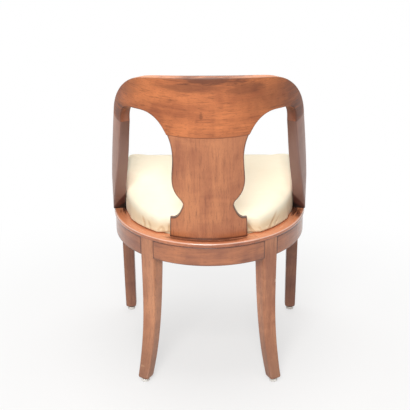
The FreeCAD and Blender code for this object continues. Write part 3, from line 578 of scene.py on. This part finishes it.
def sideRun(radius, end, count):  # the straight side, to a y of its own for each inset
    share = np.linspace(0.0, 1.0, count + 1)[1:, None]
    return stacked(radius, mixed(ringY, end, share), 0.0)


def cornerCentre(inset):  # radius of the front corner and y of its centre
    small = np.maximum(rim["corner"] - inset, rim["leastCorner"])
    return small, ring["front"] + inset + small


def cornerRun(inset, turn):
    small, front = cornerCentre(inset)
    turn = np.radians(turn)[:, None]
    return stacked(ring["radius"] - inset - small + small * np.cos(turn), front - small * np.sin(turn), 0.0)


def alongRing(path, inset, height, base, ends=1.0):
    # grid, grain and edges of a moulding from its level path
    length = runLength(path)
    return path + stacked(0.0, 0.0, height), stacked(length + base, inset, height), nearEnd(length) * ends


def rimGrids():
    # the section's place across is the level, and its depth is the inset from the nose
    share, offset, deep, deepOffset = boardSection(rim["nose"], rim["inner"], 2, 10, 7)
    height = ring["bottom"] + share * (ring["top"] - ring["bottom"]) + offset
    inset = deep * ring["width"] + deepOffset
    radius = ring["radius"] - inset
    back = math.radians(rim["backAngle"])
    rear = roundBack(-back, back, rim["rows"], radius)
    side = np.concatenate([roundBack(back, 0.5 * np.pi, 80, radius),
                           sideRun(radius, cornerCentre(inset)[1], 24),
                           cornerRun(inset, np.linspace(0.0, 45.0, 7)[1:])])
    corner = cornerRun(inset, np.linspace(45.0, 90.0, 7))
    front = np.concatenate([corner, mirrored(corner[::-1])])
    paths = {"rim_back": rear, "rim_left": side, "rim_right": mirrored(side), "rim_front": front}
    return {name: alongRing(path, inset, height, 900.0 * (number + 1), rim["jointLine"])
            for number, (name, path) in enumerate(paths.items())}


# Rails under the rim, bent behind, with ends square to the rear legs

rail = {"overhang": 3.0, "thickness": 44.0, "arris": 1.6, "innerArris": 1.0, "legAngle": math.radians(38.9),
        "legHalf": 20.0, "bottom": nodeBox("rear_rail")[0, 2]}


def railGrids():
    high = ring["bottom"] - rail["bottom"]
    section = boardSection(rail["arris"], rail["innerArris"], 9)
    share, offset, deep, deepOffset = section
    inset = deep * rail["thickness"] + deepOffset + rail["overhang"]
    height = rail["bottom"] + share * high + offset
    radius = ring["radius"] - inset
    gap = np.arcsin(rail["legHalf"] / radius)
    angle = rail["legAngle"]
    side = np.concatenate([roundBack(angle + gap, 0.5 * np.pi, 70, radius),
                           sideRun(radius, postBox[1, 1], 20)])
    across = np.linspace(-postBox[0, 0], postBox[0, 0], 40)[:, None]
    paths = {"rear_rail": roundBack(gap - angle, angle - gap, 70, radius), "side_rail_left": side,
             "side_rail_right": mirrored(side), "front_rail": stacked(across, ring["front"] + inset, 0.0)}
    near = nearEdge(section, high)
    made = {}
    for number, (name, path) in enumerate(paths.items()):
        grid, grain, ends = alongRing(path, inset, height, 900.0 * number)
        made[name] = grid, grain[..., [0, 2, 1]], np.maximum(ends, near)
    return made


# Legs: rounded square sections down a line that sweeps out faster and faster

leg = {
    "bottom": 11.0, "arris": 2.8, "foot": 4.0, "footArris": 5.0, "rows": 90,
    "rearWidth": (40.0, 30.0), "rearDepth": (37.5, 28.5), "rearBack": 57.0, "rearSide": 18.0,
    "rearPower": 3.5, "frontSize": (31.0, 28.0), "frontSweep": 8.0, "frontTaper": 2.5, "frontPower": 2.0,
    "twist": math.radians(9.0), "twistShare": 0.55,  # turn below the rails, full by this share
    # reach of the darker edges (partly wear, partly painted shade), and the share the rear corners get
    "edgeReach": 2.2, "rearEdge": 0.55, "grainShift": 40.0,
}


def legRows():
    # heights from the rails' tops to the foot, how far the section draws in at the foot, and how
    # much of the way down from the rails is done
    sine, cosine = quarter(5)
    straight = np.linspace(ring["bottom"], leg["bottom"] + leg["foot"], leg["rows"])
    height = np.concatenate([straight, (leg["bottom"] + leg["foot"] * (1 - sine))[1:]])
    inset = np.concatenate([0.0 * straight, (leg["foot"] * (1 - cosine))[1:]])
    down = np.maximum(0.0, (rail["bottom"] - height) / (rail["bottom"] - leg["bottom"]))
    return height[:, None], inset[:, None], down[:, None]


def legGrids(rear):
    height, inset, down = legRows()
    share, offset, deep, deepOffset = boardSection(1.0, 1.0, 5)
    halfX = 0.5 * mixed(*leg["rearWidth" if rear else "frontSize"], down)
    halfY = 0.5 * mixed(*leg["rearDepth" if rear else "frontSize"], down)
    bend = down ** leg["rearPower" if rear else "frontPower"]
    arris = mixed(leg["arris"], leg["footArris"], soften(down, 0.82, 1.0))
    x = (2.0 * share - 1.0) * (halfX - inset) + offset * arris
    y = (1.0 - 2.0 * deep) * (halfY - inset) - deepOffset * arris
    grain = stacked(height, x + leg["grainShift"], y)
    toCorner = np.maximum(halfX - np.abs(x), halfY - np.abs(y))
    edge = np.exp(-toCorner / leg["edgeReach"]) * mixed(1.0, leg["rearEdge"], y > 0.0)
    face = postBox[1, 0]  # outer face of the rails, as a distance from the middle
    if rear:
        turned = leg["twist"] * soften(down, 0.0, leg["twistShare"])
        x, y = x * np.cos(turned) - y * np.sin(turned), y * np.cos(turned) + x * np.sin(turned)
        sine, cosine = math.sin(rail["legAngle"]), math.cos(rail["legAngle"])
        out = face + y - halfY
        wide = sine * out + x * cosine + leg["rearSide"] * bend
        back = ringY + cosine * out - x * sine + leg["rearBack"] * bend
    else:
        wide = face - leg["frontTaper"] * down - halfX + x
        back = postBox[1, 1] - leg["frontSweep"] * bend - halfY + y
    return stacked(wide, back, height), grain, edge


# Glides: a round disc on a narrower boss, turned about the middle of its node in the frame.
# The outline is radii and heights.

glide = {"outline": [(8.8, 0.0), (9.7, 0.4), (10.0, 1.2), (10.0, 6.0), (9.7, 6.9), (8.8, 7.2), (5.2, 7.3),
                     (5.0, 7.6), (5.0, 11.4)], "steps": 40}


def glideGrid(node):
    middle = nodeBox(node).mean(axis=0)
    turn = np.linspace(0.0, 2.0 * np.pi, glide["steps"], endpoint=False)
    radius, height = np.array(glide["outline"]).T[..., None]
    return stacked(middle[0] + radius * np.cos(turn), middle[1] + radius * np.sin(turn), height)


# Wood pieces on the chair; a base moves each to its own stretch of the grain

woods = {name: woodFinish("mahogany_" + name, look) for name, look in looks.items()}


def woodPiece(name, parts, look, node, base=0.0):
    grid, grain, edge = parts
    grain = grain + np.array([base, base * 0.37, 0.0])
    edge = np.broadcast_to(edge, grid.shape[:2])
    piece = putMesh(name, grid, gridFaces(grid), grain, edge)
    setInFrame(piece, woods[look], "chair_frame", "mahogany", node)


woodPiece("crest", crestGrids(), "crest", "crest_rail")
grid, *fibres = stileGrids()
woodPiece("stile_board_left", (grid, *fibres), "stile", "stile_left")
woodPiece("stile_board_right", (mirrored(grid), *fibres), "stile", "stile_right", 700.0)
woodPiece("splat_board", splatGrids(), "splat", "splat")
print("back made")
for name, parts in rimGrids().items():
    woodPiece(name + "_moulding", parts, "rim", name)
for name, parts in railGrids().items():
    woodPiece(name + "_board", parts, "rail", name)
for end, rear in (("rear", True), ("front", False)):
    grid, *fibres = legGrids(rear)
    for side, turned, base in (("left", grid, 0.0), ("right", mirrored(grid), 500.0)):
        woodPiece("%s_post_%s" % (end, side), (turned, *fibres), "leg" if rear else "front_leg",
                  "%s_leg_%s" % (end, side), base + 900.0 * rear)
print("seat ring and legs made")


# Finishes of the frame's own pieces that stay: blocks, lift-out frame, dowels, metal, straps

plain = {  # two tones of each bare wood
    "block_wood": (colour(186, 148, 104), colour(156, 116, 76)),
    "frame_beech": (colour(214, 182, 138), colour(188, 152, 108)),
    "dowel_beech": (colour(220, 190, 148), colour(196, 162, 118)),
    "scale": 180.0, "scaleAlong": 9.0, "blended": (0.38, 0.66),
}
nylon = {"light": colour(250, 248, 242), "scuffed": colour(178, 168, 154), "scuffs": (0.5, 0.75),
         # gap and foot: painted shadow under the leg's foot and painted shade where the glide meets the floor
         "gap": colour(40, 28, 22), "gapShadowLevel": (0.0072, 0.0076),
         "foot": colour(96, 86, 76), "floorShadowLevel": (0.0014, 0.0002)}
straps = {"light": colour(206, 178, 132), "dark": colour(140, 108, 70), "line": colour(70, 52, 40),
          "threads": 1500.0, "spacing": 0.092, "lineOut": 0.019, "lineFade": (0.0022, 0.0012)}
sacking = {"light": colour(196, 164, 114), "dark": colour(132, 100, 62), "threads": 2600.0}


def plainWood(wood, axis):  # bare wood, streaked along one axis of the chair
    finish = Finish(wood + ("_across", "_lengthwise", "_upright")[axis])
    scale = [plain["scale"]] * 3
    scale[axis] = plain["scaleAlong"]
    streak = finish.noise(finish.place(), scale, 4.0, 0.6, 0.2)
    cloud = finish.noise(finish.place(), 14.0, 2.0)
    shade = finish.tint(finish.between(streak * 0.7 + cloud * 0.3, *plain["blended"]), *plain[wood])
    return finish.set(BaseColor=shade, Roughness=0.62, Normal=finish.bump(streak, 0.0003, 0.4))


def steelFinish():  # bright plate with a little tarnish
    finish = Finish("plated_steel")
    cloud = finish.noise(finish.place(), 180.0, 3.0)
    shade = finish.tint(finish.between(cloud, 0.4, 0.7), colour(206, 204, 198), colour(160, 152, 138))
    return finish.set(BaseColor=shade, Metallic=1.0, Roughness=finish.between(cloud, 0.3, 0.7, 0.28, 0.5))


def glideFinish():  # pale nylon, with painted shadow in the gap under the foot and painted shade where it meets the floor
    finish = Finish("glide_nylon")
    scuff = finish.noise(finish.place(), (300.0, 300.0, 900.0), 3.0)
    height = finish.axes(finish.place())[2]
    shade = finish.laid(nylon["light"], nylon["scuffed"], 0.4, scuff, nylon["scuffs"])
    shade = finish.laid(shade, nylon["gap"], 0.9, height, nylon["gapShadowLevel"])
    shade = finish.laid(shade, nylon["foot"], 0.7, height, nylon["floorShadowLevel"])
    return finish.set(BaseColor=shade, Roughness=finish.between(scuff, 0.3, 0.7, 0.4, 0.6),
                      Normal=finish.bump(scuff, 0.0001, 0.4))


def jute(name, look, striped=None):
    # threads raised both ways; a strap has two dark lines, about a middle across the given axis
    finish = Finish(name)
    place = finish.place()
    axes = finish.axes(place)
    weave = finish.math("SINE", axes[0] * look["threads"]) * finish.math("SINE", axes[1] * look["threads"])
    slub = finish.noise(place, 60.0, 4.0)
    shade = finish.tint(finish.between(weave * 0.5 + slub, 0.1, 1.0), look["dark"], look["light"])
    if striped:
        axis, middle = striped
        near = finish.math("PINGPONG", axes[axis] - middle, look["spacing"] / 2.0)
        away = finish.math("ABSOLUTE", near - look["lineOut"])
        shade = finish.laid(shade, look["line"], 0.7, away, look["lineFade"])
    return finish.set(BaseColor=shade, Roughness=0.9, Normal=finish.bump(weave + slub, 0.0006, 0.6))


def dress(finish, *nodes):
    for node in nodes:
        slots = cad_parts[node].data.materials
        slots.clear()
        slots.append(finish)


corners = ["_".join((end, side)) for end in ("rear", "front") for side in ("left", "right")]
dress(plainWood("block_wood", 0), *["corner_block_" + corner for corner in corners])
dress(plainWood("frame_beech", 0), "seat_frame_rear", "seat_frame_front")
dress(plainWood("frame_beech", 1), "seat_frame_left", "seat_frame_right")
dress(plainWood("dowel_beech", 0), "seat_frame_dowels", "rail_dowels")
dress(plainWood("dowel_beech", 2), "stile_dowels", "crest_dowels")
dress(steelFinish(), "block_screws", "glide_nails", "cover_tacks")
dress(jute("webbing_lengthwise_jute", straps, (0, 0.0)), "webbing_lengthwise")
dress(jute("webbing_crosswise_jute", straps, (1, -0.0185)), "webbing_crosswise")
dress(jute("hessian_jute", sacking), "hessian")
pale = glideFinish()
for corner in corners:
    grid = glideGrid("glide_" + corner)
    disc = putMesh("glide_disc_" + corner, grid, gridFaces(grid))
    setInFrame(disc, pale, "chair_frame", "glide_nylon", "glide_" + corner)
print("frame's own pieces finished")


# Cushion: rings from the rim's level up to the crown, round behind with a flatter place at the
# splat, squarer in front, and tilted up to the front; then swelled as cloth

cushion = {
    "inset": 39.5, "loose": 2.0, "bottom": 384.5, "rearTop": 412.0, "frontTop": 486.0,
    "recess": (27.5, 35.5),  # degrees from the rear where the splat's place ends
    "square": 26.0,
    # share of the height, bulge at the sides, bulge at the splat, size
    "rings": [(0.00, 12, 0, 1), (0.04, 14, 0.3, 1), (0.12, 14.5, 0.6, 1), (0.34, 14, 0.9, 1),
              (0.58, 13, 0.8, 1), (0.80, 11, -1, 1), (0.93, 7, -4, 1), (0.99, 0, -9, 0.997),
              (1.01, -9, -15, 0.965), (1.03, -14, -20, 0.80), (1.045, -16, -20, 0.50),
              (1.05, -16, -20, 0.02)],
    "ringSpread": (60.0, 1.0, 1.0, 90.0),  # how much each of those counts as distance
    "flare": 9.0, "flareFrom": (92.0, 130.0),  # wider ahead of the stiles
    # half the room between the stiles, the y from where to where they end behind and ahead, and
    # how much more room there is past them
    "between": 213.8, "stileBack": (32.0, 62.0), "stileFront": (-150.0, -180.0), "roomPast": 40.0,
    # in metres: reach of the hessian and of the frame from the middle, each with the lowest place
    # over it, and the height up to which this counts
    "hessian": (0.2, 0.3927), "frameEdge": (0.2035, 0.3893), "lowPart": 0.4,
    "voxel": 0.0055, "frames": 20, "quality": 4, "held": (0.389, 0.400), "mostMove": 0.004,
    "cloth": {"mass": 0.3, "tension_stiffness": 12.0, "compression_stiffness": 12.0, "shear_stiffness": 5.0,
              "bending_stiffness": 0.4, "use_pressure": True, "uniform_pressure_force": 4.0},
    # the cover's edge under the cushion
    "cover": 1.2, "hem": 18.0, "hemCorner": 6.0, "folds": (0.5, 0.4), "tuckedUp": 4.0,
    # creases of the cover: degrees from the rear, low and high level, width in degrees, share, lean
    "creases": [(27.8, 386, 410, 1.5, 1, 0), (30.8, 386, 402, 1.1, 0.6, 1.5), (35, 387, 404, 1.2, 0.5, -3),
                (40, 386, 408, 1.4, 0.7, 3), (45, 386, 414, 1.5, 0.9, 4), (-31, 386, 414, 1.5, 1, 5),
                (-36, 386, 400, 1.2, 0.5, 2), (-42, 386, 424, 1.7, 1, -9), (-47, 388, 412, 1.2, 0.6, -7)],
}


def cushionGrid():
    rings = smoothLine(np.array(cushion["rings"]) * cushion["ringSpread"], 64) / cushion["ringSpread"]
    share, side, back, size = rings.T[..., None]
    base = ring["radius"] - cushion["inset"] + cushion["loose"]
    front = base + ring["depth"] - 2.0 * ring["radius"] + side
    turn = np.linspace(-0.5 * np.pi, 0.5 * np.pi, 90)
    radius = base + mixed(back, side, soften(np.degrees(np.abs(turn)), *cushion["recess"]))
    rear = stacked(radius * np.sin(turn), radius * np.cos(turn))
    turn = np.linspace(0.0, np.pi, 110)[1:-1]
    power = 2.0 / cushion["square"]
    forward = front * np.sin(turn) ** power
    wide = base + side + cushion["flare"] * soften(forward, *cushion["flareFrom"])
    ahead = stacked(wide * np.sign(np.cos(turn)) * np.abs(np.cos(turn)) ** power, -forward)
    flat = np.concatenate([rear, ahead], axis=1)
    x = flat[..., 0] * size
    y = mixed(0.5 * (base + back - front), flat[..., 1], size)
    top = mixed(cushion["rearTop"], cushion["frontTop"], (ring["radius"] - y) / ring["depth"])
    return stacked(x, y + ringY, mixed(cushion["bottom"], top, share))


def pointsOf(mesh):
    points = np.empty(len(mesh.vertices) * 3)
    mesh.vertices.foreach_get("co", points)
    return points.reshape(-1, 3)


def asCloth(piece):
    # voxel remesh, some frames of cloth under pressure, then each point held near its start
    piece.modifiers.new("even", "REMESH").voxel_size = cushion["voxel"]
    graph = bpy.context.evaluated_depsgraph_get()
    mesh = bpy.data.meshes.new_from_object(piece.evaluated_get(graph))
    piece.modifiers.clear()
    piece.data = mesh
    before = pointsOf(mesh)
    cloth = piece.modifiers.new("stuffing", "CLOTH")
    cloth.settings.quality = cushion["quality"]
    for name, value in cushion["cloth"].items():
        setattr(cloth.settings, name, value)
    cloth.settings.effector_weights.gravity = 0.0
    cloth.collision_settings.use_collision = False
    for step in range(1, cushion["frames"] + 1):
        scene.frame_set(step)
    graph = bpy.context.evaluated_depsgraph_get()
    after = pointsOf(piece.evaluated_get(graph).to_mesh())
    piece.modifiers.clear()
    scene.frame_set(1)
    move = (after - before) * soften(before[:, 2:], *cushion["held"])
    length = np.linalg.norm(move, axis=1, keepdims=True)
    print("cloth moved", round(float(length.max()) * 1000.0, 1), "mm at most")
    return before + move / np.maximum(length, 1e-9) * np.minimum(length, cushion["mostMove"])


def clearOfFrame(place):
    # the swelled points kept between the stiles and over the seat's frame
    centre = np.array([0.0, ringY / 1000.0])
    out = place[:, :2] - centre
    reach = np.linalg.norm(out, axis=1)
    behind = soften(place[:, 1] * 1000.0, *cushion["stileBack"])
    ahead = 1.0 - soften(place[:, 1] * 1000.0, *cushion["stileFront"][::-1])
    limit = (cushion["between"] + cushion["roomPast"] * np.maximum(behind, ahead)) / 1000.0
    atRound = place[:, 1] > centre[1]
    side = np.where(atRound, reach, np.abs(place[:, 0]))
    scale = np.minimum(1.0, limit / np.maximum(side, 1e-6))
    place[:, 0] *= scale
    place[:, 1] = np.where(atRound, centre[1] + out[:, 1] * scale, place[:, 1])
    (inner, overHessian), (outer, overFrame) = cushion["hessian"], cushion["frameEdge"]
    lowest = np.where(reach < inner, overHessian, overFrame)
    low = (place[:, 2] < cushion["lowPart"]) & (reach < outer)
    place[:, 2] = np.where(low, np.maximum(place[:, 2], lowest), place[:, 2])
    return place


def skirtGrid():
    # the cover's edge: down outside the seat frame and turned under it, one thickness all round
    cover, corner = cushion["cover"], cushion["hemCorner"]
    outer, inner = cushion["inset"], cushion["inset"] + cover
    under = outer + cushion["hem"]
    low, high = ring["bottom"], cushion["bottom"] + cushion["tuckedUp"]
    fold, within = cushion["folds"]
    inset = np.array([outer, outer, outer + fold, under, under, inner + within, inner, inner])
    level = np.array([high, low + fold, low, low, low + cover, low + cover, low + cover + within, high])
    radius = ring["radius"] - inset
    rear = roundBack(-0.5 * np.pi, 0.5 * np.pi, 121, radius)
    sine, cosine = [wave[:, None] for wave in quarter(7)]
    bend = stacked(radius - corner * (1.0 - cosine), ring["front"] + inset + corner * (1.0 - sine), 0.0)
    return np.concatenate([rear, bend, mirrored(bend[::-1])]) + stacked(0.0, 0.0, level)


# Cover: pale cloth with a fine weave and slubs, browner low down (painted shade, with some age) and in its
# creases (painted shade)

fabric = {"light": colour(250, 239, 213), "dark": colour(240, 224, 190), "aged": colour(238, 212, 168),
          # crease: painted shade in the cover's creases
          "crease": colour(206, 162, 112), "threads": 1300.0 * math.pi, "roughness": 0.9, "sheen": 0.25,
          "dulled": (0.40, 0.72), "dullShare": 0.35, "agedAndShadedShare": 0.7, "creaseShare": 0.6,
          # the level of the browner tone low down (painted shade, with some age) at the rear, its rise for
          # each step forwards, and how ragged it is
          "agedAndShadedLevel": (0.450, 0.430), "agedAndShadedRise": 0.187, "agedAndShadedRagged": 0.012}


def creaseShare(finish, x, y, z):  # 1 along each crease of the cover's side
    around = finish.math("ARCTAN2", x, y - ringY / 1000.0)
    shares = []
    for angle, low, high, width, share, lean in cushion["creases"]:
        level = (z - low / 1000.0) * (1000.0 / (high - low))
        off = (around - math.radians(angle) - level * math.radians(lean)) * (1.0 / math.radians(width))
        fade = finish.between(level, -0.1, 0.15) * finish.between(level, 1.1, 0.6)
        shares.append(finish.between(off * off, 1.0, 0.0) * fade * share)
    return sum(shares)


def fabricFinish():
    finish = Finish("cream_cloth")
    place = finish.place()
    x, y, z = finish.axes(place)
    up = finish.axes(finish.facing())[2]
    level = up * up
    acrossX, acrossY, acrossZ, around = [finish.math("SINE", value * fabric["threads"])
                                         for value in (x, y, z, x + y)]
    weave = acrossX * acrossY * level + around * acrossZ * (1 - level)
    slub = finish.noise(place, (30.0, 420.0, 420.0), 2.0)
    cloud = finish.noise(place, 9.0, 3.0)
    raggedNoise = finish.noise(place, 26.0, 4.0, 0.6)
    crease = creaseShare(finish, x, y, z)
    dull = cloud * 0.6 + slub * 0.4
    shade = finish.laid(fabric["light"], fabric["dark"], fabric["dullShare"], dull, fabric["dulled"])
    # browner low down: painted shade with some age
    tilted = z + (raggedNoise - 0.5) * fabric["agedAndShadedRagged"] + (y - ringY / 1000.0) * fabric["agedAndShadedRise"]
    shade = finish.laid(shade, fabric["aged"], fabric["agedAndShadedShare"], tilted, fabric["agedAndShadedLevel"])
    # painted shade in the creases
    shade = finish.tint(crease * fabric["creaseShare"], shade, fabric["crease"])
    return finish.set(BaseColor=shade, Roughness=fabric["roughness"], SheenWeight=fabric["sheen"],
                      Normal=finish.bump(weave * 0.1 + slub * 0.1 - crease, 0.0015, 0.6))


def makeCushion():
    cloth = fabricFinish()
    grid = cushionGrid()
    index = np.arange(grid[..., 0].size).reshape(grid.shape[:2])
    ends = [index[0].tolist(), index[-1, ::-1].tolist()]
    piece = putMesh("seat_cushion", grid, gridFaces(grid, False) + ends)
    place = clearOfFrame(asCloth(piece))
    piece.data.vertices.foreach_set("co", place.reshape(-1))
    piece.data.update()
    piece.data.shade_smooth()
    smooth = piece.modifiers.new("smooth", "SUBSURF")
    smooth.levels = smooth.render_levels = 1
    setInFrame(piece, cloth, "drop_in_seat", "cover_fabric", "seat_cover", "seat_padding")
    grid = skirtGrid()
    skirt = putMesh("seat_cover_edge", grid, gridFaces(grid, False, True))
    setInFrame(skirt, cloth, "drop_in_seat", "cover_fabric", "seat_cover")


makeCushion()
print("cushion made")


# Floor, background, light and camera

studio = {"skyFill": 0.07, "keyPower": 78.0, "keySize": 1.6, "keyPlace": (0.32, 2.3, 2.35),
          "topPower": 47.0, "topSize": 2.0, "topPlace": (0.0, -0.3, 2.7),
          # floor: its tone and reach, and how much white is added from near the middle outwards
          "floorTone": (0.8, 0.788, 0.772, 1.0), "floorReach": 12.0, "floorMiddle": (0.0, 0.18, 0.0),
          "floorFade": (0.35, 1.15), "floorWhite": (0.64, 1.0)}
view = {"place": (-0.026065, 2.42908, 1.45031), "pitch": 23.3085, "roll": -0.46, "turn": 0.8616,
        "focal": 1050.0, "pixels": 410.0}  # degrees; the focal length is in pixels of the picture


def lamp(name, target):
    light = bpy.data.lights.new(name, "AREA")
    light.shape = "DISK"
    light.size = studio[name + "Size"]
    light.energy = studio[name + "Power"]
    holder = bpy.data.objects.new(name, light)
    holder.location = studio[name + "Place"]
    holder.rotation_euler = (Vector(target) - holder.location).to_track_quat("-Z", "Y").to_euler()
    scene.collection.objects.link(holder)


def makeStudio():
    # the background is white to the eye and lights the chair only faintly
    lamp("key", (0.0, 0.0, 0.5))
    lamp("top", (0.0, 0.0, 0.4))
    world = bpy.data.worlds.new("studio")
    scene.world = world
    world.use_nodes = True
    sky = Nodes(world.node_tree)
    strength = sky.between(sky.seen(), 0.0, 1.0, studio["skyFill"], 1.0)
    light = sky.add("Background", None, {"Color": (1.0, 1.0, 1.0, 1.0), "Strength": strength})
    output = sky.tree.nodes.new("ShaderNodeOutputWorld")
    sky.feed(output.inputs["Surface"], light)


def makeFloor():
    # pale and shadowed near the chair, mixed to plain white further out
    mesh = bpy.data.meshes.new("floor")
    reach = studio["floorReach"]
    mesh.from_pydata([(-reach, -reach, 0.0), (reach, -reach, 0.0), (reach, reach, 0.0),
                      (-reach, reach, 0.0)], [], [(0, 1, 2, 3)])
    floor = bpy.data.objects.new("floor", mesh)
    scene.collection.objects.link(floor)
    finish = Finish("pale_floor")
    finish.set(BaseColor=studio["floorTone"], Roughness=0.8)
    away = finish.add("VectorMath", {"operation": "DISTANCE"},
                      {0: finish.place(), 1: studio["floorMiddle"]}, output="Value")
    share = finish.seen() * finish.between(away, *studio["floorFade"], *studio["floorWhite"])
    glow = finish.add("Emission", None, {"Strength": 1.0})
    blend = finish.add("MixShader", None, {0: share, 1: finish.shader, 2: glow})
    finish.feed(finish.output.inputs["Surface"], blend)
    mesh.materials.append(finish.material)


def makeCamera():
    # looking down at the back, turned a little to one side and rolled a little
    pitch, roll, turn = [math.radians(view[name]) for name in ("pitch", "roll", "turn")]
    camera = bpy.data.cameras.new("camera")
    camera.sensor_width = 36.0
    camera.lens = view["focal"] / view["pixels"] * camera.sensor_width
    camera.clip_end = 60.0
    holder = bpy.data.objects.new("camera", camera)
    heading = Matrix.Rotation(math.pi + turn, 4, "Z") @ Matrix.Rotation(0.5 * math.pi - pitch, 4, "X")
    holder.matrix_world = Matrix.Translation(view["place"]) @ heading @ Matrix.Rotation(roll, 4, "Z")
    scene.collection.objects.link(holder)
    scene.camera = holder


makeStudio()
makeFloor()
makeCamera()
scene.view_settings.view_transform = "Standard"
print("studio made")
